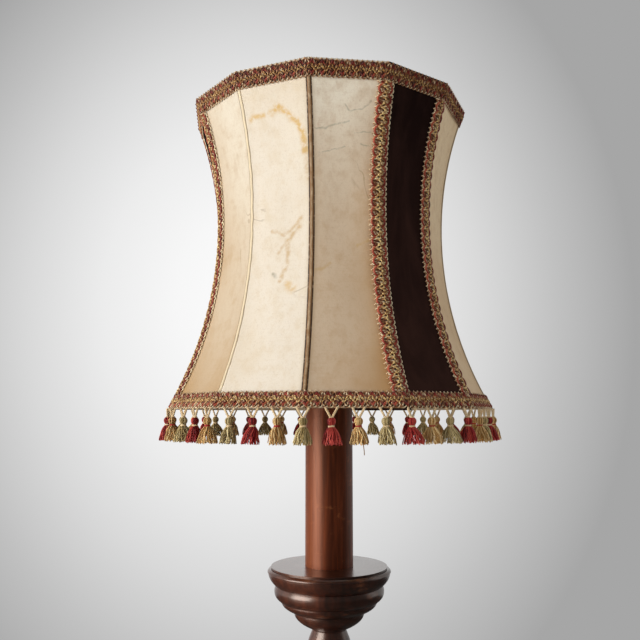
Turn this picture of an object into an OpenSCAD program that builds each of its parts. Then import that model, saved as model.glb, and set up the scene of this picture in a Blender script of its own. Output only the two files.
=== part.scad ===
// Candlestick floor lamp: a turned wooden column with a drip cup and a straight candle tube,
// a brass lampholder with its bulb, and a waisted twelve-sided shade with braid and tassels.
// Millimetres, +Z up, origin on the floor under the middle of the column, front towards -Y.

/* [Shade] */
// Height of the shade's lower edge above the floor
shade_z = 1248; // [1220:1:1262]
// Height of the shade from its lower edge to its upper edge
shade_h = 432; // [350:1:520]
// Width across the flats of the panels at the lower edge
shade_bottom_w = 440; // [390:1:520]
// Width across the flats of the panels at the waist
shade_waist_w = 316; // [260:1:376]
// Height of the waist above the lower edge
waist_z = 245; // [200:1:300]
// Direction of the first corner, from +X towards +Y, in degrees
first_corner_az = -157.45; // [-180:0.05:180]
// Thickness of the parchment panels
panel_t = 1.2; // [0.8:0.1:2]
// Diameter of the frame's upright wires
rib_wire_d = 3.5; // [2.5:0.1:5]
// Diameter of the frame's ring wires
ring_wire_d = 4; // [3:0.1:6]
// Height of each ring wire's middle inside the shade's edge
ring_inset = 6; // [5:0.5:12]

/* [Braid and tassels] */
// Thickness of the braid
braid_t = 3; // [1.5:0.1:4]
// Height of the braid round the lower edge
bottom_braid_h = 20; // [12:0.5:30]
// Height of the braid round the upper edge
top_braid_h = 21.5; // [12:0.5:30]
// Width of the braid over the corners of the dark panels
rib_braid_w = 24; // [10:0.5:28]
// Width of the folded strip over the other corners
seam_strip_w = 5; // [3:0.5:10]
// Thickness of the folded strip
seam_strip_t = 0.8; // [0.5:0.1:1.5]
// Number of tassels, in three colours
tassel_count = 45; // [36:3:54]
// Direction of the first red tassel, from +X towards +Y, in degrees
first_tassel_az = -89.3; // [-180:0.1:180]
// Depth of a tassel with its hanger below the lower edge
tassel_drop = 41; // [34:1:50]
// Depth of the two slanting cords that a tassel hangs from
hanger_h = 11; // [6:0.5:16]
// Distance between the upper ends of those two cords
hanger_span = 14; // [8:0.5:18]
// Diameter of the hanger cords
hanger_d = 1.8; // [1.2:0.1:3]
// Diameter of a tassel's skirt at its lower end
skirt_d = 24; // [14:0.5:25]
// Diameter of a tassel's head
head_d = 9.4; // [6:0.2:12]

/* [Column] */
// Height of the drip cup's top face above the floor
cup_top_z = 1033; // [900:1:1040]
// Largest diameter of the drip cup
cup_d = 171; // [130:1:205]
// Diameter of the candle tube
tube_d = 66.8; // [52:0.2:80]
// Length of the candle tube above the drip cup
tube_h = 292; // [245:1:300]
// Height of the upper baluster
baluster_h = 249; // [200:1:300]
// Largest diameter of the upper baluster
baluster_d = 78; // [64:1:94]
// Diameter of the neck between the baluster and the drip cup
neck_d = 46; // [38:1:56]
// Height of the knop between shaft and baluster
knop_h = 45; // [35:1:60]
// Largest diameter of the knop
knop_d = 84; // [74:1:100]
// Diameter of the shaft's lower end
shaft_low_d = 62; // [56:1:76]
// Diameter of the shaft's upper end
shaft_top_d = 48; // [44:1:58]
// Height of the column's foot
foot_h = 158; // [120:1:190]
// Largest diameter of the column's foot
foot_d = 124; // [104:1:148]
// Diameter of the tenons that locate one turned piece in the next
tenon_d = 24; // [20:1:28]
// Length of those tenons
tenon_l = 12; // [8:1:16]

/* [Base] */
// Diameter of the plinth
plinth_d = 340; // [320:1:410]
// Height of the plinth
plinth_h = 64; // [60:1:80]
// Height of a bun foot without its felt pad
bun_h = 37; // [30:1:45]
// Largest diameter of a bun foot
bun_d = 54; // [44:1:60]
// Distance of the bun feet from the middle
bun_pcr = 140; // [136:1:146]
// Diameter of the pegs on the bun feet
peg_d = 12; // [8:1:14]
// Thickness of the felt pads
pad_t = 3; // [2:0.5:5]
// Diameter of the felt pads
pad_d = 28; // [20:1:34]
// Diameter of the recess in the plinth's underside
recess_d = 210; // [190:1:220]
// Depth of the recess above its cover
recess_h = 36; // [34:1:38]
// Thickness of the underside cover
cover_t = 3; // [2:0.5:4]
// How far the cover reaches past the recess all round
cover_lap = 11; // [9:1:12]
// Thickness of the ballast weight
ballast_t = 28; // [18:1:30]
// Inner diameter of the ballast weight
ballast_hole_d = 110; // [104:1:120]
// Inner diameter of the cable bush
bush_bore_d = 7.2; // [6:0.2:9]
// Length of the cable bush inside the plinth
bush_l = 20; // [14:1:26]

// Diameter of the ballast weight's screws
ballast_screw_d = 5; // [4:0.5:6]
// Diameter of the cover's screws
cover_screw_d = 3; // [2.5:0.5:4]
// Length of the cover's screws
cover_screw_l = 16; // [10:1:20]

/* [Tie rod and lead] */
// Outer diameter of the hollow tie rod
rod_d = 10; // [9:0.5:12]
// Inner diameter of the hollow tie rod
rod_bore_d = 7; // [6:0.1:7.5]
// Clearance round the tie rod in the wood
rod_gap = 0.6; // [0.3:0.1:1]
// Diameter of the inner lead
lead_d = 4; // [3:0.1:5]
// Radius of the lead's bend, at its middle
lead_bend_r = 16; // [14:1:17]

/* [Lampholder and bulb] */
// Outer diameter of the lampholder's threaded sleeve
sleeve_d = 39.8; // [38:0.2:44]
// Wall of the threaded sleeve
sleeve_t = 1.6; // [1:0.1:2]
// Diameter of the two shade rings
shade_ring_d = 56; // [50:1:64]
// Diameter of the switch knob
knob_d = 14; // [10:0.5:18]
// Length of the switch knob
knob_l = 14; // [10:0.5:20]
// Diameter of the switch spindle
spindle_d = 4.8; // [4:0.2:6]
// Diameter of the bulb's glass
bulb_d = 60; // [45:1:68]
// Length of the bulb with its cap
bulb_l = 106; // [98:1:120]
// Diameter of the bulb's screw cap
cap_d = 26.3; // [24:0.1:27]

/* [Hidden] */
$fn = 96;

// Clearances
fit = 0.2;        // between pieces that are fixed against each other on curved faces
seat_gap = 0.3;   // under a piece that turns or lifts off its seat
run_fit = 0.08;   // radial, round a spindle that turns in a hole
knob_fit = 0.05;  // radial, between the knob and the spindle that carries it
thread_fit = 0.1; // radial, between a thread and its nut or ring
peg_fit = 0.15;   // radial, round pegs and tenons
screw_fit = 0.1;  // radial, round a screw's shank in wood
pass_fit = 0.4;   // radial, round a screw's shank in the piece that it holds
tassel_set = 1.1; // how far the tassels hang behind the braid's outer face
lap = 0.02;       // how far the flats of one piece run into each other at a corner
eps = 1;          // how far a cutter reaches past the face that it opens
shade_eps = 3;    // the same for the cutter that hollows the shade

// Shade: a panel's outer face is a circular arc in side view, bulging towards the axis
panels = 12;
half = 180 / panels;
bottom_a = shade_bottom_w / 2;
waist_a = shade_waist_w / 2;
sag = bottom_a - waist_a;
curve_r = (pow(waist_z, 2) + pow(sag, 2)) / (2 * sag);
curve_a = waist_a + curve_r;
far = bottom_a * 2;
rib_r = rib_wire_d / 2;
ring_r = ring_wire_d / 2;
rib_depth = panel_t + fit + rib_r;
ring_depth = panel_t + fit + ring_r;
low_ring_z = ring_inset;
high_ring_z = shade_h - ring_inset;
upright_low = bottom_braid_h + fit;
upright_high = shade_h - top_braid_h - fit;
arms = 3;
arm_step = panels / arms;
first_arm = 1;
arm_w = 8;

// Distance of a panel's face from the axis across the flats, depth inwards from the outer face
function face_a(z, depth) = curve_a - sqrt(pow(curve_r + depth, 2) - pow(z - waist_z, 2));
// The same at a corner
function corner_r(z, depth) = face_a(z, depth) / cos(half);
function corner_az(k) = first_corner_az + 2 * half * k;
function dark_panel_k(i) = 4 * i - 1;
function pale_panel_k(i) = i - 1 + floor((i - 1) / 3);
braided_corners = [0, 3, 4, 7, 8, 11];
plain_corners = [1, 2, 5, 6, 9, 10];

// The upright wires follow one arc through the waist and the lower edge
rib_sag = corner_r(0, rib_depth) - corner_r(waist_z, rib_depth);
rib_curve_r = (pow(waist_z, 2) + pow(rib_sag, 2)) / (2 * rib_sag);
rib_curve_a = corner_r(waist_z, rib_depth) + rib_curve_r;
rib_low = low_ring_z + ring_r + fit;
rib_high = high_ring_z - ring_r - fit;

// Tassels
tassel_a = face_a(0, -(fit + braid_t - tassel_set));
tassel_step = 360 / tassel_count;
knot_r = 2.2;
head_z = -hanger_h - head_d / 2 + 0.8;
neck_r = head_d / 2 - 1.4;
tie_r = head_d / 2 - 0.4;
tie_z = head_z - head_d / 2;
tie_h = 3.4;
skirt_r = skirt_d / 2;

// Base
plinth_z = pad_t + bun_h;
plinth_r = plinth_d / 2;
recess_top_z = plinth_z + cover_t + recess_h;
recess_r = recess_d / 2;
cover_r = recess_r + cover_lap;
cover_screw_r = recess_r + cover_lap / 2;
ballast_r = recess_r - 2;
ballast_low_z = recess_top_z - ballast_t;
ballast_screw_pcr = (ballast_r + ballast_hole_d / 2) / 2;
ballast_slot_w = 14;
ballast_screw_l = ballast_t + 12;
fascia_h = 26;
plinth_bead_h = 14;
plinth_step_h = 4;
plinth_cove_r = 16;
peg_l = 16;
bush_z = plinth_z + fascia_h / 2;
bush_r = bush_bore_d / 2 + 2.2;
bush_flange_r = bush_r + 2.2;
bush_flange_t = 2.5;
cable_hole_r = bush_bore_d / 2 + 0.8;

// Column, from the floor up
foot_z = plinth_z + plinth_h;
shaft_z = foot_z + foot_h;
cup_h = 84;
baluster_z = cup_top_z - cup_h - baluster_h;
knop_z = baluster_z - knop_h;
tube_top_z = cup_top_z + tube_h;
tenon_r = tenon_d / 2;
cup_r = cup_d / 2;
knop_r = knop_d / 2;
profile_steps = 18;
mould_steps = 8;

// Tie rod with its washer and nuts
rod_r = rod_d / 2;
rod_hole_r = rod_r + rod_gap;
washer_t = 2;
washer_r = 17;
nut_af = rod_d * 1.7;
nut_r = nut_af / 2 / cos(30);
nut_t = 5;
rod_low_z = recess_top_z - washer_t - nut_t - 4;
tube_cap_t = 3;
cap_z = tube_top_z + tube_cap_t + nut_t;
rod_top_z = cap_z + 9;

// Junction box and lead
box_w = 28;
box_l = 26;
box_y = 24;
lead_r = lead_d / 2;
lead_hole_r = lead_r + 0.2;
lead_low_z = rod_low_z - 2 - lead_bend_r;
box_low_z = lead_low_z - lead_hole_r - 2;
lead_grip = 8;
wire_r = 0.8;

// Lampholder, from the cap's foot up
sleeve_r = sleeve_d / 2;
sleeve_in_r = sleeve_r - sleeve_t;
shell_r = sleeve_r + 0.6;
shell_t = 1.2;
shell_in_r = shell_r - shell_t;
boss_r = rod_r + 4;
boss_h = 5;
dome_h = 13;
shell_h = 26;
sleeve_z = cap_z + shell_h;
sleeve_h = 32;
core_flange_h = 3;
core_r = sleeve_in_r - fit;
core_floor_z = sleeve_z + 4;
core_top_z = sleeve_z + 28;
cap_r = cap_d / 2;
screw_in_r = cap_r + 0.3;
screw_t = 0.5;
screw_h = 20;
cavity_r = screw_in_r + screw_t + 0.1;
low_ring_seat_z = sleeve_z + 4;
shade_ring_t = 3;
shade_ring_r = shade_ring_d / 2;
ring_hole_r = sleeve_r + thread_fit;
fitter_z = low_ring_seat_z + shade_ring_t + seat_gap;
fitter_t = 2;
fitter_hole_r = sleeve_r + 0.5;
fitter_r = shade_ring_r - 1;
clamp_z = fitter_z + fitter_t + seat_gap;
clamp_t = 6.4;
grip_notches = 18;
notch_r = 1.6;

// Switch, on +X under the shade rings
spindle_z = cap_z + dome_h + 4;
spindle_r = spindle_d / 2;
cam_x = 4;
cam_t = 4;
cam_r = spindle_r + 2;
knob_x = shell_r + 1.4;
knob_r = knob_d / 2;
knob_bore_l = 10;
knob_flutes = 12;
flute_r = 1;
flute_low = 2;
leaf_t = 0.6;
leaf_w = 5;
leaf_h = 8;

// Terminals and contacts
post_x = -5;
post_y = 11;
post_r = 2.6;
post_h = 6;
core_low_z = sleeve_z - core_flange_h;
contact_t = 0.8;
contact_r = 5;
contact_dome = 1.4;
contact_post_r = 2;
contact_post_low_z = core_low_z - 1.5;

// Bulb, upwards from its contact
bulb_z = core_floor_z + contact_t + contact_dome + seat_gap;
tip_h = 1.5;
tip_r = 4.6;
insulator_h = 5;
cap_low_z = bulb_z + tip_h + insulator_h;
cap_h = 20;
cap_wall = 0.5;
bulb_r = bulb_d / 2;
glass_t = 0.8;
bulb_mid_z = bulb_z + bulb_l - bulb_r;
glass_neck_r = cap_r - cap_wall - fit;
glass_low_z = cap_low_z + 12;
neck_top_z = cap_low_z + cap_h + 4;
meet_dz = bulb_r * sin(45);
flare_power = 2.4;
stem_low_z = glass_low_z + 2;
stem_h = 44;
filament_r = 11;
filament_z = bulb_mid_z - 2;
filament_wire_r = 0.5;

// ---------------------------------------------------------------- shared shapes

function mix(a, b, u) = a + (b - a) * u;
// A point at azimuth az on the twelve-sided outline whose flats lie a from the axis
function on_outline(az, a) =
    let (turn = az - corner_az(0), off = turn - 2 * half * floor(turn / (2 * half)) - half)
    [cos(az), sin(az)] * a / cos(off);

// Half-profile of a plain disc
module disc2(r, z0, z1) {
    translate([0, z0]) square([r, z1 - z0]);
}

// Half-profile of a disc with a half-round rim
module bead2(r, z0, z1) {
    h = z1 - z0;
    intersection() {
        union() {
            if (r > h / 2) disc2(r - h / 2, z0, z1);
            translate([r - h / 2, z0 + h / 2]) circle(d = h);
        }
        disc2(r, z0, z1);
    }
}

// Outline of a rounded moulding that falls from [r0, z0] to [r1, z1] and turns in towards its end
function rounded(r0, z0, r1, z1, fullness) = [
    for (i = [0:mould_steps]) let (u = i / mould_steps)
        [mix(r0, r1, pow(u, fullness)), mix(z0, z1, u)]
];

// The same points in the other order
function back(points) = [for (i = [len(points) - 1:-1:0]) points[i]];

// Half-profile of a vase: from r0 to r1, swollen by bulge. A skew under 1 moves the fullest place
// towards the lower end, or towards the upper end with from_top.
module swell2(z0, z1, r0, r1, bulge, skew, from_top = false) {
    polygon(concat(
        [[0, z0]],
        [for (i = [0:profile_steps]) let (u = i / profile_steps, v = from_top ? 1 - u : u)
            [mix(r0, r1, u) + bulge * sin(180 * pow(v, skew)), mix(z0, z1, u)]],
        [[0, z1]]
    ));
}

// A turned piece from z0 to z1, bored for the tie rod, with a tenon below and a mortise above
module turned(z0, z1, tenon = true, mortise = true) {
    rotate_extrude() difference() {
        union() {
            children();
            if (tenon) disc2(tenon_r, z0 - tenon_l, z0);
        }
        disc2(rod_hole_r, z0 - tenon_l - eps, z1 + eps);
        if (mortise) disc2(tenon_r + peg_fit, z1 - tenon_l - fit, z1 + eps);
    }
}

module tube(r, bore_r, z0, z1) {
    rotate_extrude() translate([bore_r, z0]) square([r - bore_r, z1 - z0]);
}

module rod_between(p, q, r) {
    v = q - p;
    l = norm(v);
    translate(p) rotate([0, acos(v.z / l), atan2(v.y, v.x)]) cylinder(r = r, h = l, $fn = 24);
}

module round_pattern(count, radius, start = 0) {
    for (i = [0:count - 1]) rotate([0, 0, start + i * 360 / count]) translate([radius, 0, 0]) children();
}

// ---------------------------------------------------------------- shade geometry

// One flat's share of the shade, with half a gap left at each corner
module wedge(z0, z1, half_gap) {
    translate([half_gap / sin(half), 0, z0]) linear_extrude(z1 - z0)
        polygon([[0, 0], [far, -far * tan(half)], [far, far * tan(half)]]);
}

// All that lies inside one flat's curved face, at a depth inwards from the panels' outer face
module inside_flat(k, depth, z0, z1) {
    rotate([0, 0, corner_az(k) + half]) translate([0, far, 0]) rotate([90, 0, 0]) linear_extrude(2 * far)
        difference() {
            translate([-far, z0]) square([far + curve_a, z1 - z0]);
            translate([curve_a, waist_z]) circle(curve_r + depth, $fn = 240);
        }
}

module inside_flats(first, last, depth, z0, z1) {
    intersection_for (k = [first:last]) inside_flat(k, depth, z0, z1);
}

// A panel over one flat, between two depths, with half a gap left at each corner
module panel(k, outer, inner, half_gap) {
    difference() {
        intersection() {
            inside_flat(k, outer, 0, shade_h);
            rotate([0, 0, corner_az(k) + half]) wedge(-eps, shade_h + eps, half_gap);
        }
        inside_flat(k, inner, -shade_eps, shade_h + shade_eps);
    }
}

// A band round the whole shade
module band(outer, inner, z0, z1) {
    difference() {
        inside_flats(0, panels - 1, outer, z0, z1);
        inside_flats(0, panels - 1, inner, z0 - shade_eps, z1 + shade_eps);
    }
}

// A strip folded over a corner
module corner_strip(k, w, outer, inner, z0, z1) {
    intersection() {
        difference() {
            inside_flats(k - 1, k, outer, z0, z1);
            inside_flats(k - 1, k, inner, z0 - shade_eps, z1 + shade_eps);
        }
        rotate([0, 0, corner_az(k)]) translate([0, -w / 2, z0 - eps]) cube([far, w, z1 - z0 + 2 * eps]);
    }
}

// A wire ring with mitred corners
module wire_ring(z, depth, r) {
    a = face_a(z, depth);
    for (k = [0:panels - 1]) rotate([0, 0, corner_az(k) + half]) intersection() {
        translate([a, a / 2, z]) rotate([90, 0, 0]) cylinder(r = r, h = a, $fn = 24);
        wedge(z - ring_wire_d, z + ring_wire_d, -lap);
    }
}

module shade_place() {
    translate([0, 0, shade_z]) children();
}

// ---------------------------------------------------------------- base

module base_plinth() {
    bead_z = plinth_z + fascia_h;
    step_z = bead_z + plinth_bead_h;
    cove_z = step_z + plinth_step_h;
    top_z = plinth_z + plinth_h;
    cove_out_r = plinth_r - plinth_step_h * 3;
    color("saddlebrown") difference() {
        rotate_extrude() difference() {
            union() {
                disc2(plinth_r, plinth_z, bead_z);
                bead2(plinth_r - 2, bead_z, step_z);
                disc2(plinth_r - plinth_step_h * 2, step_z, cove_z);
                disc2(cove_out_r, cove_z, top_z);
            }
            translate([cove_out_r, top_z]) circle(r = plinth_cove_r);
            disc2(cover_r + fit, plinth_z - eps, plinth_z + cover_t);
            disc2(recess_r, plinth_z - eps, recess_top_z);
            disc2(rod_hole_r, plinth_z, top_z + eps);
            disc2(tenon_r + peg_fit, top_z - tenon_l - fit, top_z + eps);
        }
        round_pattern(4, bun_pcr, 45) translate([0, 0, plinth_z - eps])
            cylinder(r = peg_d / 2 + peg_fit, h = peg_l + fit + eps);
        round_pattern(4, cover_screw_r) translate([0, 0, plinth_z])
            cylinder(r = cover_screw_d / 2 + screw_fit, h = cover_screw_l + fit);
        round_pattern(3, ballast_screw_pcr, 30) translate([0, 0, recess_top_z - eps])
            cylinder(r = ballast_screw_d / 2 + screw_fit, h = ballast_screw_l - ballast_t + fit + eps);
        translate([0, recess_r - 5, bush_z]) rotate([-90, 0, 0]) cylinder(r = cable_hole_r, h = plinth_r);
        translate([0, plinth_r - bush_l - fit, bush_z]) rotate([-90, 0, 0])
            cylinder(r = bush_r + peg_fit, h = plinth_r);
        translate([-bush_flange_r - 1, plinth_r - 0.6, bush_z - bush_flange_r - 1])
            cube([2 * bush_flange_r + 2, 10, 2 * bush_flange_r + 2]);
    }
}

module bun_feet() {
    neck_h = 5;
    color("saddlebrown") round_pattern(4, bun_pcr, 45) rotate_extrude() union() {
        disc2(pad_d / 2 + 1, pad_t, pad_t + neck_h);
        bead2(bun_d / 2, pad_t + neck_h / 2, plinth_z - neck_h);
        disc2(pad_d / 2 + 2, plinth_z - neck_h - eps, plinth_z);
        disc2(peg_d / 2, plinth_z - eps, plinth_z + peg_l);
    }
}

module felt_pads() {
    color("dimgray") round_pattern(4, bun_pcr, 45) cylinder(d = pad_d, h = pad_t);
}

module ballast_weight() {
    color("#3a3a3c") translate([0, 0, ballast_low_z]) difference() {
        tube(ballast_r, ballast_hole_d / 2, 0, ballast_t);
        translate([-ballast_slot_w / 2, 0, -eps]) cube([ballast_slot_w, ballast_r * 2, ballast_t + 2 * eps]);
        round_pattern(3, ballast_screw_pcr, 30) translate([0, 0, -eps])
            cylinder(r = ballast_screw_d / 2 + pass_fit, h = ballast_t + 2 * eps);
    }
}

module pan_screw(d, l, z) {
    head_h = d * 0.6;
    translate([0, 0, z - head_h]) cylinder(r = d, h = head_h);
    translate([0, 0, z - eps / 2]) cylinder(d = d, h = l + eps / 2);
}

module ballast_screws() {
    color("silver") round_pattern(3, ballast_screw_pcr, 30)
        pan_screw(ballast_screw_d, ballast_screw_l, ballast_low_z);
}

module underside_cover() {
    color("#6b5a48") difference() {
        translate([0, 0, plinth_z]) cylinder(r = cover_r, h = cover_t);
        round_pattern(4, cover_screw_r) translate([0, 0, plinth_z - eps])
            cylinder(r = cover_screw_d / 2 + pass_fit, h = cover_t + 2 * eps);
    }
}

module cover_screws() {
    color("silver") round_pattern(4, cover_screw_r) pan_screw(cover_screw_d, cover_screw_l, plinth_z);
}

module rod_washer() {
    color("silver") tube(washer_r, rod_r + pass_fit, recess_top_z - washer_t, recess_top_z);
}

module hex_nut(z) {
    translate([0, 0, z]) difference() {
        cylinder(r = nut_r, h = nut_t, $fn = 6);
        translate([0, 0, -eps]) cylinder(r = rod_r + thread_fit, h = nut_t + 2 * eps);
    }
}

module rod_nut() {
    color("silver") hex_nut(recess_top_z - washer_t - nut_t);
}

module cable_bush() {
    color("#2b2622") translate([0, plinth_r - 0.6, bush_z]) rotate([-90, 0, 0]) difference() {
        union() {
            translate([0, 0, -bush_l + 0.6]) cylinder(r = bush_r, h = bush_l);
            cylinder(r = bush_flange_r, h = bush_flange_t);
        }
        translate([0, 0, -bush_l - eps]) cylinder(d = bush_bore_d, h = bush_l * 2 + bush_flange_t);
    }
}

module junction_box() {
    color("#22211f") difference() {
        translate([-box_w / 2, box_y, box_low_z]) cube([box_w, box_l, recess_top_z - box_low_z]);
        translate([0, box_y - eps, lead_low_z]) rotate([-90, 0, 0])
            cylinder(r = lead_hole_r, h = lead_grip + eps);
        translate([0, box_y + box_l - lead_grip, lead_low_z]) rotate([-90, 0, 0])
            cylinder(d = bush_bore_d, h = lead_grip + eps);
    }
}

// ---------------------------------------------------------------- column

module column_foot() {
    top_r = shaft_low_d / 2 + 6;
    low_r = foot_d / 2;
    bead_z = foot_z + 6;
    fillet_z = bead_z + 16;
    vase_z = fillet_z + 5;
    collar_z = shaft_z - 18;
    lip_z = shaft_z - 5;
    color("saddlebrown") turned(foot_z, shaft_z) {
        disc2(low_r, foot_z, bead_z);
        bead2(low_r - 2, bead_z, fillet_z);
        disc2(low_r - 12, fillet_z, vase_z);
        swell2(vase_z, collar_z, low_r - 18, top_r - 7, 14, 0.7);
        bead2(top_r, collar_z, lip_z);
        disc2(top_r - 3, lip_z, shaft_z);
    }
}

module column_shaft() {
    fillet_h = 6;
    color("saddlebrown") turned(shaft_z, knop_z) {
        disc2(shaft_low_d / 2 + 2, shaft_z, shaft_z + fillet_h);
        swell2(shaft_z + fillet_h, knop_z - fillet_h, shaft_low_d / 2, shaft_top_d / 2, 3, 1);
        disc2(shaft_top_d / 2 + 3, knop_z - fillet_h, knop_z);
    }
}

module knop_ring() {
    side_h = 9;
    color("saddlebrown") turned(knop_z, baluster_z) {
        disc2(knop_r - 11, knop_z, baluster_z);
        bead2(knop_r, knop_z + side_h, baluster_z - side_h);
    }
}

module upper_baluster() {
    low_r = neck_d / 2 - 2;
    bead_z = baluster_z + 6;
    fillet_z = bead_z + 14;
    vase_z = fillet_z + 5;
    top_z = baluster_z + baluster_h;
    bulge = baluster_d / 2 - neck_d / 2 + 1;
    color("saddlebrown") turned(baluster_z, top_z) {
        disc2(low_r + 9, baluster_z, bead_z);
        bead2(low_r + 12, bead_z, fillet_z);
        disc2(low_r + 3, fillet_z, vase_z);
        swell2(vase_z, top_z, low_r, neck_d / 2, bulge, 0.8, from_top = true);
    }
}

// The drip cup: three beads of falling width over a round bowl, measured down from its top face
module drip_cup() {
    lip = cup_r - 6;
    neck = cup_r - 11;
    torus = cup_r - 9.6;
    fillet = cup_r - 19.2;
    step = cup_r - 36.4;
    foot = cup_r - 61.5;
    over = 1;
    color("#5a2a1c") translate([0, 0, cup_top_z]) turned(-cup_h, 0) {
        disc2(foot, -cup_h, 2 * over - cup_h);
        polygon(concat(
            [[0, over - cup_h]],
            back(rounded(step - 0.8, -62.3, foot, over - cup_h, 2)),
            [[step, -62.3], [step, -60]],
            back(rounded(fillet - 0.6, -48, step + 0.6, -60, 1.9)),
            [[fillet, -48], [fillet, -46]],
            back(rounded(torus, -32, fillet + 0.5, -46, 2.7)),
            rounded(torus, -32, neck - 0.6, -25.4, 2),
            back(rounded(cup_r - 1, -7.6, neck, -25, 2)),
            rounded(cup_r, -7, lip + 2.5, -2.9, 2),
            [[lip, -2.9], [lip, -2.4], [lip + 1, -1.8], [lip + 1, 0], [0, 0]]
        ));
    }
}

module candle_tube() {
    color("#6d3a24") turned(cup_top_z, tube_top_z, mortise = false) disc2(tube_d / 2, cup_top_z, tube_top_z);
}

module tie_rod() {
    color("darkgoldenrod") tube(rod_r, rod_bore_d / 2, rod_low_z, rod_top_z);
}

module tube_cap() {
    color("goldenrod") rotate_extrude() difference() {
        bead2(tube_d / 2 + 1.4, tube_top_z, tube_top_z + tube_cap_t);
        disc2(rod_r + pass_fit, tube_top_z - eps, tube_top_z + tube_cap_t + eps);
    }
}

module lock_nut() {
    color("goldenrod") hex_nut(tube_top_z + tube_cap_t);
}

module inner_lead() {
    wire_z = rod_top_z + 1;
    color("ivory") union() {
        translate([0, 0, lead_low_z + lead_bend_r])
            cylinder(r = lead_r, h = wire_z - lead_low_z - lead_bend_r);
        translate([0, lead_bend_r, lead_low_z + lead_bend_r]) rotate([90, 0, -90]) rotate([0, 0, -90])
            rotate_extrude(angle = 90) translate([lead_bend_r, 0]) circle(r = lead_r, $fn = 32);
        translate([0, lead_bend_r, lead_low_z]) rotate([-90, 0, 0])
            cylinder(r = lead_r, h = box_y + lead_grip - lead_bend_r);
        for (side = [-1, 1])
            rod_between([0, side, wire_z - 1], [post_x, side * post_y, core_low_z - post_h - wire_r], wire_r);
    }
}

// ---------------------------------------------------------------- lampholder

module holder_cap() {
    waist = boss_r + 1;
    color("goldenrod") difference() {
        translate([0, 0, cap_z]) rotate_extrude() polygon([
            [rod_r + thread_fit, 0], [boss_r, 0], [boss_r, boss_h], [waist, boss_h],
            [shell_r, dome_h], [shell_r, shell_h], [shell_in_r, shell_h], [shell_in_r, dome_h + 0.8],
            [waist, boss_h + 1.6], [rod_r + thread_fit, boss_h + 1.6]
        ]);
        translate([shell_in_r - 3, 0, spindle_z]) rotate([0, 90, 0]) cylinder(r = spindle_r + run_fit, h = 8);
    }
}

module holder_sleeve() {
    color("darkgoldenrod") tube(sleeve_r, sleeve_in_r, sleeve_z, sleeve_z + sleeve_h);
}

module holder_core() {
    color("whitesmoke") difference() {
        rotate_extrude() union() {
            disc2(shell_in_r - fit, core_low_z, sleeve_z);
            disc2(core_r, sleeve_z - eps, core_top_z);
        }
        translate([0, 0, core_floor_z]) cylinder(r = cavity_r, h = core_top_z);
        translate([0, 0, core_low_z - eps]) cylinder(r = contact_post_r + 0.1, h = core_floor_z);
    }
}

module screw_shell() {
    color("goldenrod") tube(screw_in_r + screw_t, screw_in_r, core_floor_z, core_floor_z + screw_h);
}

module holder_contacts() {
    color("goldenrod") {
        union() {
            translate([0, 0, core_floor_z]) cylinder(r = contact_r, h = contact_t);
            translate([0, 0, core_floor_z]) cylinder(r = contact_r - 2, h = contact_t + contact_dome);
            translate([0, 0, contact_post_low_z])
                cylinder(r = contact_post_r, h = core_floor_z - contact_post_low_z);
        }
        for (side = [-1, 1])
            translate([cam_x - 0.5, side * (cam_r + 0.6 + leaf_t / 2) - leaf_t / 2, core_low_z - leaf_h])
                cube([leaf_w, leaf_t, leaf_h]);
    }
}

module terminal_posts() {
    color("goldenrod") for (side = [-1, 1])
        translate([post_x, side * post_y, core_low_z - post_h]) cylinder(r = post_r, h = post_h);
}

module lower_shade_ring() {
    color("#1d1b19") tube(shade_ring_r, ring_hole_r, low_ring_seat_z, low_ring_seat_z + shade_ring_t);
}

module upper_shade_ring() {
    color("#1d1b19") difference() {
        tube(shade_ring_r, ring_hole_r, clamp_z, clamp_z + clamp_t);
        round_pattern(grip_notches, shade_ring_r + notch_r / 2) translate([0, 0, clamp_z - eps])
            cylinder(r = notch_r, h = clamp_t + 2 * eps, $fn = 24);
    }
}

module switch_spindle() {
    color("silver") translate([0, 0, spindle_z]) rotate([0, 90, 0]) union() {
        translate([0, 0, cam_x]) cylinder(r = cam_r, h = cam_t);
        translate([0, 0, cam_x + cam_t / 2])
            cylinder(r = spindle_r, h = knob_x + knob_bore_l - cam_x - cam_t / 2);
    }
}

module switch_knob() {
    color("#1d1b19") translate([knob_x, 0, spindle_z]) rotate([0, 90, 0]) difference() {
        cylinder(r = knob_r, h = knob_l);
        translate([0, 0, -eps]) cylinder(r = spindle_r + knob_fit, h = knob_bore_l + eps);
        round_pattern(knob_flutes, knob_r + flute_r / 3) translate([0, 0, flute_low])
            cylinder(r = flute_r, h = knob_l, $fn = 24);
    }
}

// ---------------------------------------------------------------- bulb

// Radius of the glass at height z: a straight neck, a flare, then a ball
function glass_r(z) =
    let (flare_low = neck_top_z, flare_top = bulb_mid_z - meet_dz, meet_r = bulb_r * cos(45))
    z <= flare_low ? glass_neck_r
    : z < flare_top ? mix(glass_neck_r, meet_r, pow((z - flare_low) / (flare_top - flare_low), flare_power))
    : sqrt(max(0, pow(bulb_r, 2) - pow(z - bulb_mid_z, 2)));

function glass_z(u) = mix(neck_top_z, bulb_z + bulb_l, sin(90 * u));

module bulb_glass() {
    steps = 40;
    outer = [for (i = [0:steps]) let (z = glass_z(i / steps)) [glass_r(z), z]];
    inner = [for (i = [0:steps]) let (z = glass_z(i / steps))
        [max(0, glass_r(z) - glass_t), z - (i == steps ? glass_t : 0)]];
    color("lightyellow", 0.4) rotate_extrude() polygon(concat(
        [[glass_neck_r, glass_low_z]], outer,
        [for (i = [steps:-1:0]) inner[i]], [[glass_neck_r - glass_t, glass_low_z]]
    ));
}

module bulb_cap() {
    color("silver") tube(cap_r, cap_r - cap_wall, cap_low_z, cap_low_z + cap_h);
}

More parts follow.
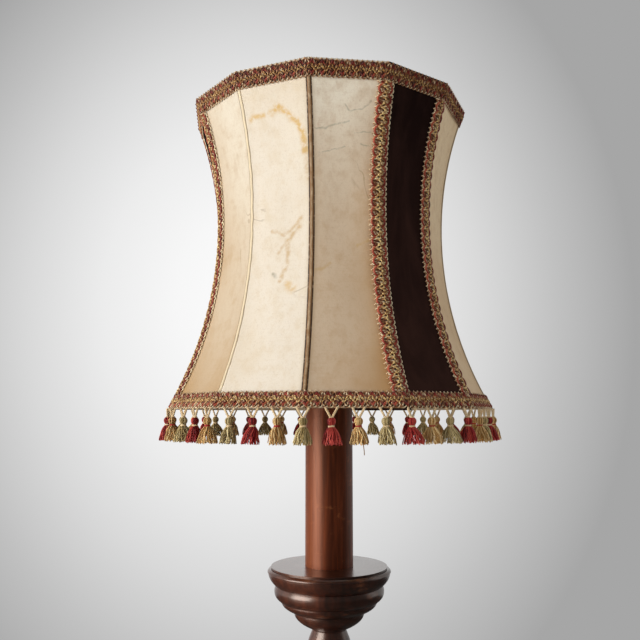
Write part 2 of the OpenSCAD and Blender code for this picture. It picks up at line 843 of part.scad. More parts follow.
module bulb_insulator() {
    color("#1a1a1a") rotate_extrude() polygon([
        [0, bulb_z + tip_h], [tip_r + 1, bulb_z + tip_h], [cap_r - cap_wall - fit, cap_low_z],
        [cap_r - cap_wall - fit, cap_low_z + 3], [0, cap_low_z + 3]
    ]);
}

module bulb_contact() {
    color("silver") rotate_extrude() bead2(tip_r, bulb_z, bulb_z + tip_h);
}

module bulb_stem() {
    flare_r = glass_neck_r - glass_t - fit;
    color("aliceblue", 0.5) rotate_extrude() polygon([
        [0, stem_low_z + 2], [flare_r - 1, stem_low_z], [flare_r, stem_low_z], [4.5, stem_low_z + 16],
        [3, stem_low_z + 20], [2, stem_low_z + stem_h], [0, stem_low_z + stem_h]
    ]);
}

module bulb_filament() {
    low = stem_low_z + stem_h - 6;
    arc = 280;
    start = -90 + (360 - arc) / 2;
    foot_r = 2.7;
    color("dimgray") union() {
        translate([0, 0, filament_z]) rotate([0, 0, start])
            rotate_extrude(angle = arc) translate([filament_r, 0]) circle(r = filament_wire_r, $fn = 16);
        for (az = [start + 1, start + arc / 2, start + arc - 1])
            rod_between([foot_r * cos(az), foot_r * sin(az), low],
                [filament_r * cos(az), filament_r * sin(az), filament_z], filament_wire_r * 0.8);
    }
}

// ---------------------------------------------------------------- shade

module shade_fitter() {
    arm_top_z = fitter_z + fitter_t - shade_z;
    reach = rib_curve_a - sqrt(pow(rib_curve_r, 2) - pow(arm_top_z - waist_z, 2)) - rib_r - fit;
    color("silver") translate([0, 0, fitter_z]) linear_extrude(fitter_t) difference() {
        union() {
            circle(fitter_r);
            for (i = [0:arms - 1]) rotate(corner_az(first_arm + arm_step * i))
                translate([0, -arm_w / 2]) square([reach, arm_w]);
        }
        circle(fitter_hole_r);
    }
}

module top_ring() {
    color("silver") shade_place() wire_ring(high_ring_z, ring_depth, ring_r);
}

module bottom_ring() {
    color("silver") shade_place() wire_ring(low_ring_z, ring_depth, ring_r);
}

module shade_ribs() {
    low_turn = asin((rib_low - waist_z) / rib_curve_r);
    high_turn = asin((rib_high - waist_z) / rib_curve_r);
    color("silver") shade_place() for (k = [0:panels - 1]) rotate([0, 0, corner_az(k)])
        translate([rib_curve_a, 0, waist_z]) rotate([90, 0, 0]) rotate([0, 0, 180 - high_turn])
            rotate_extrude(angle = high_turn - low_turn, $fn = 240)
                translate([rib_curve_r, 0]) circle(r = rib_r, $fn = 24);
}

module parchment_panel(i) {
    color("wheat") shade_place() panel(pale_panel_k(i), 0, panel_t, fit / 2);
}

module dark_panel(i) {
    color("#2a1512") shade_place() panel(dark_panel_k(i), 0, panel_t, fit / 2);
}

module top_braid() {
    color("#a8794a") shade_place() band(-fit - braid_t, -fit, shade_h - top_braid_h, shade_h);
}

module bottom_braid() {
    color("#94503a") shade_place() band(-fit - braid_t, -fit, 0, bottom_braid_h);
}

module rib_braids() {
    color("#a8794a") shade_place() for (k = braided_corners)
        corner_strip(k, rib_braid_w, -fit - braid_t, -fit, upright_low, upright_high);
}

module seam_strips() {
    color("tan") shade_place() for (k = plain_corners)
        corner_strip(k, seam_strip_w, -fit - seam_strip_t, -fit, upright_low, upright_high);
}

// Half-profile of a tassel's skirt
module skirt() {
    top_z = tie_z - tie_h + eps;
    polygon([
        [0, top_z], [neck_r, top_z],
        [mix(neck_r, skirt_r, 0.55), mix(top_z, -tassel_drop, 0.35)],
        [mix(neck_r, skirt_r, 0.9), mix(top_z, -tassel_drop, 0.7)],
        [skirt_r, -tassel_drop], [0, -tassel_drop]
    ]);
}

// One tassel, hung at azimuth az by two cords from the braid's lower face
module tassel(az) {
    spread = asin(hanger_span / 2 / tassel_a);
    middle = on_outline(az, tassel_a);
    knot = [middle.x, middle.y, -hanger_h];
    intersection() {
        union() {
            for (side = [-1, 1]) {
                foot = on_outline(az + side * spread, tassel_a);
                rod_between([foot.x, foot.y, hanger_d / 2], knot, hanger_d / 2);
            }
            translate([middle.x, middle.y, 0]) rotate_extrude($fn = 32) union() {
                disc2(knot_r, head_z, -hanger_h + knot_r / 2);
                bead2(head_d / 2, head_z - head_d / 2 + 0.4, head_z + head_d / 2 - 0.6);
                disc2(neck_r, tie_z - tie_h, head_z);
                bead2(tie_r, tie_z - tie_h, tie_z);
                skirt();
            }
        }
        translate([middle.x - skirt_d, middle.y - skirt_d, -tassel_drop - eps])
            cube([2 * skirt_d, 2 * skirt_d, tassel_drop + eps]);
    }
}

// Every third tassel, from the first of one colour
module tassel_row(first) {
    shade_place() for (i = [first:3:tassel_count - 1]) tassel(first_tassel_az + i * tassel_step);
}

module red_tassels() {
    color("#8f1f26") tassel_row(0);
}

module gold_tassels() {
    color("#c29a56") tassel_row(1);
}

module sage_tassels() {
    color("#8c8763") tassel_row(2);
}

// ---------------------------------------------------------------- the lamp

base_plinth();
bun_feet();
felt_pads();
ballast_weight();
ballast_screws();
underside_cover();
cover_screws();
rod_washer();
rod_nut();
cable_bush();
junction_box();
column_foot();
column_shaft();
knop_ring();
upper_baluster();
drip_cup();
candle_tube();
tie_rod();
tube_cap();
lock_nut();
inner_lead();
holder_cap();
holder_sleeve();
holder_core();
screw_shell();
holder_contacts();
terminal_posts();
lower_shade_ring();
upper_shade_ring();
switch_spindle();
switch_knob();
bulb_glass();
bulb_cap();
bulb_insulator();
bulb_contact();
bulb_stem();
bulb_filament();
shade_fitter();
top_ring();
bottom_ring();
shade_ribs();
for (i = [1:9]) parchment_panel(i);
for (i = [1:3]) dark_panel(i);
top_braid();
bottom_braid();
rib_braids();
seam_strips();
red_tassels();
gold_tassels();
sage_tassels();
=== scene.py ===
"""A candlestick floor lamp with a twelve-sided parchment shade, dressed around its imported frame.

The wood is turned and stained, the shade is parchment laced over wires, and its edges carry
interlaced silk braid and a fringe of 45 tassels in three colours. Lengths are in metres, +Z is up,
and every piece is made where the frame says it is.
"""

import logging
import math
from dataclasses import dataclass, field
from enum import Enum
from typing import Any, Iterable, Optional, Sequence, Union

import bpy
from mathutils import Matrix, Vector


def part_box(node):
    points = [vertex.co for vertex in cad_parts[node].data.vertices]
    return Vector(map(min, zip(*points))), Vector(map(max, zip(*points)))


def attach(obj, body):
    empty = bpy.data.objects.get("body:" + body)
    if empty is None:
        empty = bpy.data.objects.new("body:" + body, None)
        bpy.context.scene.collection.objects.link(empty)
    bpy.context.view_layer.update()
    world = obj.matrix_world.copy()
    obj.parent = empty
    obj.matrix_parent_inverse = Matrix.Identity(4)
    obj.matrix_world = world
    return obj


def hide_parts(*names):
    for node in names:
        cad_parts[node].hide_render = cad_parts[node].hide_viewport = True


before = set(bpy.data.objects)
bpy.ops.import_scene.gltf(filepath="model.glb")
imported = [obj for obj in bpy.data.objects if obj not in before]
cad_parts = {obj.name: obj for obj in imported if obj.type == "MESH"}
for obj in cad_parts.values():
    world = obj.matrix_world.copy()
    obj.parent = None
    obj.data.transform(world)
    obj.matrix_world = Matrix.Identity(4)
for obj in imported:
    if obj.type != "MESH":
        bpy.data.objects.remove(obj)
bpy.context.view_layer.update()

log = logging.getLogger("floor_lamp")

MM = 0.001
TAU = 2 * math.pi
SHADE_BODY = "shade"  # the body that every piece made here rides on
Colour = tuple[float, float, float, float]
Number = Union[int, float]


def tint(red: int, green: int, blue: int) -> Colour:
    """Turns a colour as it is seen on a screen into the renderer's linear values.

    Args:
        red: Red, from 0 to 255.
        green: Green, from 0 to 255.
        blue: Blue, from 0 to 255.

    Returns:
        The linear colour with an alpha of 1.
    """
    linear = [
        c / 12.92 if c <= 0.04045 else ((c + 0.055) / 1.055) ** 2.4
        for c in (red / 255, green / 255, blue / 255)
    ]
    return (*linear, 1.0)


# ------------------------------------------------------------------ node trees


class Wire:
    """One output socket in a node tree. Arithmetic on it adds Math nodes to the tree."""

    def __init__(self, graph: "Graph", socket: bpy.types.NodeSocket) -> None:
        """Keeps the tree and the socket."""
        self.graph = graph
        self.socket = socket

    def _maths(self, operation: str, first: Any, second: Any = None, third: Any = None) -> "Wire":
        """Adds a Math node.

        Args:
            operation: The node's operation.
            first: The first value, a wire or a number.
            second: The second value, where the operation has one.
            third: The third value, where the operation has one.

        Returns:
            The node's result.
        """
        values = {0: first, 1: second, 2: third}
        return self.graph.add("ShaderNodeMath", {"operation": operation}, values)

    def __add__(self, other: Any) -> "Wire":
        """Sum."""
        return self._maths("ADD", self, other)

    def __radd__(self, other: Any) -> "Wire":
        """Sum with a number in front."""
        return self._maths("ADD", other, self)

    def __sub__(self, other: Any) -> "Wire":
        """Difference."""
        return self._maths("SUBTRACT", self, other)

    def __rsub__(self, other: Any) -> "Wire":
        """Difference with a number in front."""
        return self._maths("SUBTRACT", other, self)

    def __mul__(self, other: Any) -> "Wire":
        """Product."""
        return self._maths("MULTIPLY", self, other)

    def __rmul__(self, other: Any) -> "Wire":
        """Product with a number in front."""
        return self._maths("MULTIPLY", other, self)

    def __truediv__(self, other: Any) -> "Wire":
        """Quotient."""
        return self._maths("DIVIDE", self, other)

    def __pow__(self, other: Any) -> "Wire":
        """Power."""
        return self._maths("POWER", self, other)

    def call(self, operation: str, second: Any = None, third: Any = None) -> "Wire":
        """Any other operation of a Math node on this value."""
        return self._maths(operation, self, second, third)

    def between(self, low: Number, high: Number) -> "Wire":
        """Runs smoothly from 0 where this value is low to 1 where it is high.

        Args:
            low: The value that gives 0.
            high: The value that gives 1.

        Returns:
            The eased share.
        """
        settings = {"interpolation_type": "SMOOTHSTEP"}
        inputs = {"Value": self, "From Min": low, "From Max": high}
        return self.graph.add("ShaderNodeMapRange", settings, inputs)


class Graph:
    """A node tree under construction, for a material or for Geometry Nodes."""

    def __init__(self, tree: bpy.types.NodeTree) -> None:
        """Keeps the tree."""
        self.tree = tree

    def add(
        self,
        kind: str,
        settings: Optional[dict[str, Any]] = None,
        inputs: Optional[dict[Union[int, str], Any]] = None,
        output: Union[int, str] = 0,
    ) -> Optional[Wire]:
        """Adds a node, sets it up and joins its inputs.

        Args:
            kind: The node's type.
            settings: The node's own settings, set first. "stops" fills a colour ramp and
                "curve" a float curve.
            inputs: Values or wires by socket name or number. None leaves a socket alone, and a
                list joins several wires to one socket.
            output: The name or number of the output to return.

        Returns:
            The chosen output.
        """
        node = self.tree.nodes.new(kind)
        for key, value in (settings or {}).items():
            if key == "stops":
                self._fill_ramp(node.color_ramp, value)
            elif key == "curve":
                self._fill_curve(node.mapping, value)
            else:
                setattr(node, key, value)
        for key, value in (inputs or {}).items():
            if value is None:
                continue
            socket = self._pick(node.inputs, key)
            for item in value if isinstance(value, list) else [value]:
                self._join(item, socket)
        return Wire(self, self._pick(node.outputs, output)) if len(node.outputs) else None

    def _join(self, value: Any, socket: bpy.types.NodeSocket) -> None:
        """Links a wire to a socket, or sets the socket's own value.

        Args:
            value: A wire, or a plain value.
            socket: The input that takes it.
        """
        if isinstance(value, Wire):
            self.tree.links.new(value.socket, socket)
        else:
            socket.default_value = value

    @staticmethod
    def _pick(sockets: Any, key: Union[int, str]) -> bpy.types.NodeSocket:
        """Finds a socket by number, or the one in use that has that name."""
        if isinstance(key, int):
            return sockets[key]
        return next(s for s in sockets if s.name == key and s.enabled)

    @staticmethod
    def _fill_ramp(ramp: Any, stops: Sequence[tuple[float, Colour]]) -> None:
        """Gives a colour ramp its stops.

        Args:
            ramp: The node's ramp.
            stops: Each stop's place and colour, in rising order.
        """
        while len(ramp.elements) > 1:
            ramp.elements.remove(ramp.elements[-1])
        ramp.elements[0].position, ramp.elements[0].color = stops[0]
        for place, colour in stops[1:]:
            ramp.elements.new(place).color = colour

    @staticmethod
    def _fill_curve(mapping: Any, points: Sequence[tuple[float, float]]) -> None:
        """Gives a float curve its points.

        Args:
            mapping: The node's curve mapping.
            points: The curve's points, in rising order.
        """
        curve = mapping.curves[0]
        while len(curve.points) < len(points):
            curve.points.new(0.5, 0.5)
        for point, place in zip(curve.points, points):
            point.location = place
        mapping.update()

    def blend(self, share: Any, first: Any, second: Any, mode: str = "MIX") -> Wire:
        """Mixes two colours.

        Args:
            share: How much of the second colour, a wire or a number.
            first: The first colour.
            second: The second colour.
            mode: The way of mixing.

        Returns:
            The mixed colour.
        """
        settings = {"data_type": "RGBA", "blend_type": mode, "clamp_factor": True}
        return self.add("ShaderNodeMix", settings, {0: share, 6: first, 7: second}, 2)

    def vector(self, operation: str, first: Any, second: Any = None, scale: Any = None) -> Wire:
        """Adds a Vector Math node.

        Args:
            operation: The node's operation.
            first: The first vector.
            second: The second vector, where the operation has one.
            scale: The factor, for SCALE.

        Returns:
            The vector, or the number for LENGTH, DOT_PRODUCT and DISTANCE.
        """
        output = 1 if operation in ("LENGTH", "DOT_PRODUCT", "DISTANCE") else 0
        values = {0: first, 1: second, 3: scale}
        return self.add("ShaderNodeVectorMath", {"operation": operation}, values, output)

    def parts(self, vector: Wire) -> list[Wire]:
        """Splits a vector into its x, y and z."""
        node = self.add("ShaderNodeSeparateXYZ", {}, {0: vector}).socket.node
        return [Wire(self, socket) for socket in node.outputs]


class Paint(Graph):
    """A material under construction, with the nodes that most finishes use."""

    def __init__(self, name: str) -> None:
        """Starts a material that holds one Principled shader.

        Args:
            name: The material's name.
        """
        self.material = bpy.data.materials.new(name)
        self.material.use_nodes = True
        super().__init__(self.material.node_tree)
        self.tree.nodes.clear()
        self.shader = self.add("ShaderNodeBsdfPrincipled")
        self.surface = self.tree.nodes.new("ShaderNodeOutputMaterial").inputs["Surface"]
        self._join(self.shader, self.surface)

    def place(self, scale: Sequence[float] = (1, 1, 1), turn: Sequence[float] = (0, 0, 0)) -> Wire:
        """The point in the piece's own space, stretched and turned.

        Args:
            scale: How many pattern units a metre takes along each axis.
            turn: Turn about each axis, in radians.

        Returns:
            The pattern's coordinates.
        """
        where = self.add("ShaderNodeTexCoord", output="Object")
        inputs = {"Vector": where, "Scale": tuple(scale), "Rotation": tuple(turn)}
        return self.add("ShaderNodeMapping", {}, inputs)

    def cloud(self, where: Wire, scale: float = 1.0, detail: float = 3.0, rough: float = 0.5,
              distortion: float = 0.0) -> Wire:
        """Noise from 0 to 1.

        Args:
            where: The coordinates.
            scale: The pattern's fineness.
            detail: How many finer layers it has.
            rough: How strong the finer layers are.
            distortion: How far it swirls.

        Returns:
            The noise.
        """
        inputs = {
            "Vector": where, "Scale": scale, "Detail": detail, "Roughness": rough,
            "Distortion": distortion,
        }
        return self.add("ShaderNodeTexNoise", {}, inputs, "Fac")

    def ramp(self, value: Wire, *stops: tuple[float, Colour]) -> Wire:
        """A colour ramp over a value."""
        return self.add("ShaderNodeValToRGB", {"stops": stops}, {"Fac": value}, "Color")

    def read(self, name: str) -> Wire:
        """A number that the mesh carries at its points."""
        return self.add("ShaderNodeAttribute", {"attribute_name": name}, {}, "Fac")

    def light(self, kind: str) -> Wire:
        """1 for one kind of ray, such as "Is Camera Ray", and 0 for the others."""
        return self.add("ShaderNodeLightPath", output=kind)

    def mix_surface(self, share: Wire, first: Wire, second: Wire) -> bpy.types.Material:
        """Makes the surface a mix of two shaders.

        Args:
            share: How much of the second shader.
            first: The first shader.
            second: The second shader.

        Returns:
            The material.
        """
        self._join(self.add("ShaderNodeMixShader", {}, {0: share, 1: first, 2: second}), self.surface)
        return self.material

    def finish(self, bump: Optional[Wire] = None, depth: float = 0.0, **sockets: Any
               ) -> bpy.types.Material:
        """Joins the shader's sockets and returns the material.

        Args:
            bump: A height pattern for the surface.
            depth: How many metres the height pattern stands for.
            **sockets: Values or wires by socket name, with _ for a space.

        Returns:
            The finished material.
        """
        node = self.shader.socket.node
        for key, value in sockets.items():
            self._join(value, node.inputs[key.replace("_", " ")])
        if bump is not None:
            normal = self.add("ShaderNodeBump", {}, {"Height": bump, "Distance": depth}, "Normal")
            self._join(normal, node.inputs["Normal"])
        return self.material


# ------------------------------------------------------------------ finishes

AMBER = tint(220, 178, 104)
OCHRE = tint(206, 168, 112)
GREY_GREEN = tint(128, 120, 92)
FIBRE_BROWN = tint(176, 150, 112)
VEIN_BROWN = tint(150, 116, 70)
LACED_TAN = tint(176, 140, 92)
CREASE_SHADE = tint(58, 34, 18)


@dataclass(frozen=True)
class TurnedWood:
    """Stained wood under wax or polish: upright grain, pores, blotches, rubbed patches, and painted
    light that lightens the -X side.
    """

    name: str
    dark: Colour
    middle: Colour
    light: Colour
    roughness: float = 0.3
    gloss: Colour = (1.0, 0.7, 0.55, 1.0)
    wear: Colour = tint(150, 92, 58)
    polish: float = 0.0
    polish_roughness: float = 0.24
    polish_index: float = 1.6
    # the range of -X over which the wood is painted lighter: painted light on the side that the window
    # light falls on
    painted_light_side: tuple[float, float] = (-6 * MM, 30 * MM)
    relief: float = 0.06 * MM

    def make(self) -> bpy.types.Material:
        """Returns the material."""
        paint = Paint(self.name)
        grain = paint.cloud(paint.place((46, 46, 2.2)), 3.2, 5, 0.62, 0.9)
        wander = paint.cloud(paint.place((5, 5, 1.2)), 1.0, 2)
        pores = paint.cloud(paint.place((900, 900, 24)), 1.0, 2, 0.5)
        blotch = paint.cloud(paint.place((9, 9, 6)), 1.0, 3, 0.6)
        # painted light: the wood is lighter towards -X, the side that faces the window light
        lighter_share = (paint.parts(paint.place())[0] * -1).between(*self.painted_light_side)
        tone = grain * 0.66 + wander * 0.2 + lighter_share * 0.26
        base = paint.ramp(tone, (0.34, self.dark), (0.56, self.middle), (0.8, self.light))
        stained = paint.blend(blotch.between(0.45, 0.75) * 0.45, base, self.dark)
        pored = paint.blend(pores.between(0.62, 0.74) * 0.5, stained, self.dark)
        rubbed = paint.cloud(paint.place((30, 30, 55), (0.2, 0.1, 0.7)), 1.0, 4, 0.7)
        worn = paint.blend(rubbed.between(0.58, 0.74) * 0.5, pored, self.wear)
        height = grain * 0.4 - pores.between(0.6, 0.75) * 0.6 + rubbed * 0.8
        return paint.finish(
            height, self.relief, Base_Color=worn, Roughness=self.roughness + blotch * 0.16,
            Specular_IOR_Level=1.0, Specular_Tint=self.gloss, Coat_Weight=self.polish,
            Coat_Roughness=self.polish_roughness, Coat_IOR=self.polish_index,
        )


@dataclass(frozen=True)
class Metal:
    """A metal with fine drawn marks and dull patches."""

    name: str
    bright: Colour
    dull: Colour
    roughness: float = 0.3
    metallic: float = 1.0
    dullness: float = 0.6

    def make(self) -> bpy.types.Material:
        """Returns the material."""
        paint = Paint(self.name)
        patch = paint.cloud(paint.place((60, 60, 60)), 1.0, 4, 0.6)
        marks = paint.cloud(paint.place((400, 400, 2600)), 1.0, 2, 0.5)
        worn = patch.between(0.42, 0.68) * self.dullness
        colour = paint.blend(worn, self.bright, self.dull)
        return paint.finish(
            marks, 0.015 * MM, Base_Color=colour, Metallic=self.metallic,
            Roughness=self.roughness + worn * 0.3 + marks * 0.06,
        )


@dataclass(frozen=True)
class Plain:
    """A matt or moulded stuff with a fine speckle: felt, board, plastic, porcelain, lead sheath."""

    name: str
    colour: Colour
    fleck: Colour
    roughness: float
    fineness: float = 900.0
    relief: float = 0.05 * MM
    fleck_share: float = 0.5
    coat: float = 0.0

    def make(self) -> bpy.types.Material:
        """Returns the material."""
        paint = Paint(self.name)
        fine = paint.cloud(paint.place((self.fineness,) * 3), 1.0, 3, 0.6)
        broad = paint.cloud(paint.place((40, 40, 40)), 1.0, 3, 0.5)
        share = fine.between(0.4, 0.7) * self.fleck_share + broad.between(0.4, 0.8) * 0.2
        colour = paint.blend(share, self.colour, self.fleck)
        return paint.finish(
            fine, self.relief, Base_Color=colour, Roughness=self.roughness + fine * 0.08,
            Coat_Weight=self.coat,
        )


@dataclass(frozen=True)
class Silk:
    """Twisted silk thread or cord, lustrous, with each thread a little different."""

    name: str
    colour: Colour
    shadow: Colour
    light: Colour
    twist: float = 900.0
    roughness: float = 0.42

    def make(self) -> bpy.types.Material:
        """Returns the material."""
        paint = Paint(self.name)
        shade = paint.read("shade")
        twist = paint.cloud(paint.place((self.twist,) * 3), 1.0, 2, 0.5)
        lighter_share = paint.cloud(paint.place((30, 30, 45)), 1.0, 2, 0.5)
        tone = shade * 0.6 + twist * 0.3 + lighter_share * 0.25
        colour = paint.ramp(tone, (0.2, self.shadow), (0.52, self.colour), (0.86, self.light))
        return paint.finish(
            twist, 0.16 * MM, Base_Color=colour, Roughness=self.roughness + twist * 0.2,
            Sheen_Weight=0.12, Sheen_Roughness=0.4, Specular_IOR_Level=0.35,
        )


@dataclass(frozen=True)
class Velvet:
    """Near-black brown nap, brushed along the panel."""

    name: str
    deep: Colour
    nap: Colour

    def make(self) -> bpy.types.Material:
        """Returns the material."""
        paint = Paint(self.name)
        pile = paint.cloud(paint.place((1400, 1400, 420)), 1.0, 2, 0.6)
        brushed = paint.cloud(paint.place((38, 38, 9)), 1.0, 4, 0.6, 0.4)
        # the nap is lighter towards the panel's foot
        lighter_share = (1 - paint.read("rise")) * 0.55
        lit = brushed.between(0.35, 0.75) * 0.4 + pile * 0.2 + lighter_share - 0.1
        colour = paint.blend(lit, self.deep, self.nap)
        return paint.finish(
            pile, 0.3 * MM, Base_Color=colour, Roughness=0.88 + pile * 0.1, Sheen_Weight=0.1,
            Sheen_Roughness=0.45, Sheen_Tint=self.nap, Specular_IOR_Level=0.1,
        )


@dataclass(frozen=True)
class Stroke:
    """A stain or vein drawn on a panel: points in millimetres across and up from its left foot."""

    points: tuple[tuple[float, float], ...]
    width: float
    colour: Colour
    strength: float = 0.8


@dataclass(frozen=True)
class Toning:
    """How much a panel darkens and browns towards its left side, right side, foot and head, from 0 to
    1: partly browning and partly painted shade.
    """

    left: float = 0.15
    right: float = 0.15
    foot: float = 0.2
    head: float = 0.0
    overall: float = 0.0


@dataclass(frozen=True)
class Parchment:
    """Scraped skin: mottled cream, browned towards its laced edges, with sparse veins."""

    name: str
    cream: Colour
    tan: Colour
    toning: Toning = Toning()
    strokes: tuple[Stroke, ...] = ()
    creases: tuple[float, float] = (0.5, 0.5)

    SIDE_FALL = 2.2  # how fast the browning fades away from a side
    FOOT_FALL = 3.0
    HEAD_FALL = 4.0
    LACING = 2.9 * MM  # how far inside the edge the lacing pulls a crease

    def make(self) -> bpy.types.Material:
        """Returns the material."""
        paint = Paint(self.name)
        broad = paint.cloud(paint.place((7, 7, 4)), 1.0, 3, 0.5, 0.3)
        mottle = paint.cloud(paint.place((70, 70, 52)), 1.0, 5, 0.62)
        fibre = paint.cloud(paint.place((620, 620, 460)), 1.0, 2, 0.5)
        toned = self._toned(paint, broad)
        colour = paint.blend(toned, self.cream, self.tan)
        colour = paint.blend(mottle.between(0.44, 0.72) * 0.3, colour, self.tan)
        grain = paint.cloud(paint.place((240, 240, 150)), 1.0, 4, 0.7)
        colour = paint.blend(grain.between(0.48, 0.72) * 0.16, colour, self.tan)
        creased = paint.cloud(paint.place((26, 26, 420)), 1.0, 4, 0.6, 0.6)
        colour = paint.blend(creased.between(0.54, 0.7) * 0.1, colour, self.tan)
        colour = paint.blend(fibre.between(0.5, 0.75) * 0.16, colour, FIBRE_BROWN)
        veins = self._veins(paint)
        colour = paint.blend(veins * 0.35, colour, VEIN_BROWN)
        colour = self._drawn(paint, colour)
        colour = self._creased(paint, colour, mottle)
        height = mottle * 0.7 + fibre * 0.3 + veins * 0.3 + creased * 0.5
        return paint.finish(
            height, 0.2 * MM, Base_Color=colour, Roughness=0.48 + mottle * 0.16,
            Specular_IOR_Level=0.3,
        )

    def _toned(self, paint: Paint, broad: Wire) -> Wire:
        """How brown the skin is at a place, from its sides, foot and head and a broad cloud, partly as
        painted shade.

        Args:
            paint: The material.
            broad: The broad cloud.

        Returns:
            The share of tan.
        """
        side, rise = paint.read("side"), paint.read("rise")
        uneven = broad * 0.6 + 0.7
        left = (0.5 - side * 0.5) ** self.SIDE_FALL * self.toning.left
        right = (0.5 + side * 0.5) ** self.SIDE_FALL * self.toning.right
        foot = (1 - rise) ** self.FOOT_FALL * self.toning.foot
        head = rise**self.HEAD_FALL * self.toning.head
        browning_and_shade = left + right + foot + head + self.toning.overall
        return browning_and_shade * uneven + broad.between(0.45, 0.8) * 0.3

    def _veins(self, paint: Paint) -> Wire:
        """Thin lines along the level lines of a swirled noise, kept only in sparse patches.

        Args:
            paint: The material.

        Returns:
            1 on a vein and 0 off it.
        """
        swirl = paint.cloud(paint.place((11, 11, 9)), 1.0, 3, 0.55, 1.2)
        near = (swirl - 0.5).call("ABSOLUTE")
        line = 1 - near.between(0.003, 0.011)
        patch = paint.cloud(paint.place((13, 13, 13), (0.4, 0.9, 0.2)), 1.0, 2, 0.5)
        return line * patch.between(0.6, 0.7)

    def _creased(self, paint: Paint, colour: Wire, mottle: Wire) -> Wire:
        """Browns the skin beside its laced edges and paints a dark line at the seam as painted shade.

        Args:
            paint: The material.
            colour: The skin's colour so far.
            mottle: The fine cloud that makes the browning uneven.

        Returns:
            The colour with its creases.
        """
        edge = paint.read("edge")
        on_right = paint.read("side").between(-0.1, 0.1)
        left, right = self.creases
        strength = on_right * (right - left) + left
        soft = 1 - (edge + mottle * 0.005).between(3 * MM, 12 * MM)
        colour = paint.blend(soft * strength * 0.45, colour, LACED_TAN)
        # painted shade: a thin dark line just inside the panel's edge, beside the edge of the seam
        # strip
        crease = 1 - (edge - self.LACING).call("ABSOLUTE").between(0.5 * MM, 1.3 * MM)
        broken = paint.cloud(paint.place((60, 60, 200)), 1.0, 3, 0.6).between(0.3, 0.5) * 0.4 + 0.6
        return paint.blend(crease * broken * strength, colour, CREASE_SHADE)

    def _drawn(self, paint: Paint, colour: Wire) -> Wire:
        """Adds the panel's own stains and veins, with wavering edges.

        Args:
            paint: The material.
            colour: The skin's colour so far.

        Returns:
            The colour with the strokes.
        """
        if not self.strokes:
            return colour
        flat = paint.add("ShaderNodeUVMap", {"uv_map": "panel"}, {}, 0)
        noise = {"Vector": flat, "Scale": 95.0, "Detail": 3.0}
        waver = paint.add("ShaderNodeTexNoise", {}, noise, "Color")
        shift = paint.vector("SCALE", paint.vector("SUBTRACT", waver, (0.5, 0.5, 0.5)), None, 7 * MM)
        at = paint.vector("MULTIPLY", paint.vector("ADD", flat, shift), (1, 1, 0))
        fade = paint.cloud(flat, 130.0, 3, 0.6)
        for stroke in self.strokes:
            nearest: Optional[Wire] = None
            for start, end in zip(stroke.points, stroke.points[1:]):
                distance = self._distance(paint, at, start, end)
                nearest = distance if nearest is None else nearest.call("MINIMUM", distance)
            soft = 1 - nearest.between(0.1 * stroke.width * MM, stroke.width * MM)
            share = soft * fade.between(0.28, 0.62) * stroke.strength
            colour = paint.blend(share, colour, stroke.colour)
        return colour

    @staticmethod
    def _distance(paint: Paint, at: Wire, start: Sequence[float], end: Sequence[float]) -> Wire:
        """Distance in metres from a point of the flat skin to a line between two others.

        Args:
            paint: The material.
            at: The point.
            start: Where the line starts, in millimetres.
            end: Where it ends.

        Returns:
            The distance.
        """
        a = Vector((*start, 0)) * MM
        along = Vector((*end, 0)) * MM - a
        from_start = paint.vector("SUBTRACT", at, tuple(a))
        share = paint.vector("DOT_PRODUCT", from_start, tuple(along)) / along.length_squared
        held = share.call("MAXIMUM", 0.0).call("MINIMUM", 1.0)
        nearest = paint.vector("SCALE", tuple(along), None, held)
        return paint.vector("DISTANCE", from_start, nearest)


@dataclass(frozen=True)
class SeamSkin:
    """The strips over the plain corners: pale, or browned by handling, with a rubbed ridge."""

    name: str
    pale: Colour
    brown: Colour

    def make(self) -> bpy.types.Material:
        """Returns the material."""
        paint = Paint(self.name)
        mottle = paint.cloud(paint.place((160, 160, 90)), 1.0, 4, 0.65)
        share = paint.read("shade") + (mottle - 0.5) * 0.9
        colour = paint.blend(share.between(0.0, 1.0), self.pale, self.brown)
        return paint.finish(
            mottle, 0.25 * MM, Base_Color=colour, Roughness=0.5 + mottle * 0.16,
            Specular_IOR_Level=0.3,
        )


@dataclass(frozen=True)
class Glass:
    """Clear or lightly frosted glass."""

    name: str
    colour: Colour
    roughness: float = 0.05

    def make(self) -> bpy.types.Material:
        """Returns the material."""
        paint = Paint(self.name)
        smear = paint.cloud(paint.place((70, 70, 50)), 1.0, 3, 0.6)
        return paint.finish(
            smear, 0.02 * MM, Base_Color=self.colour, Roughness=self.roughness + smear * 0.06,
            Transmission_Weight=0.9, IOR=1.46,
        )


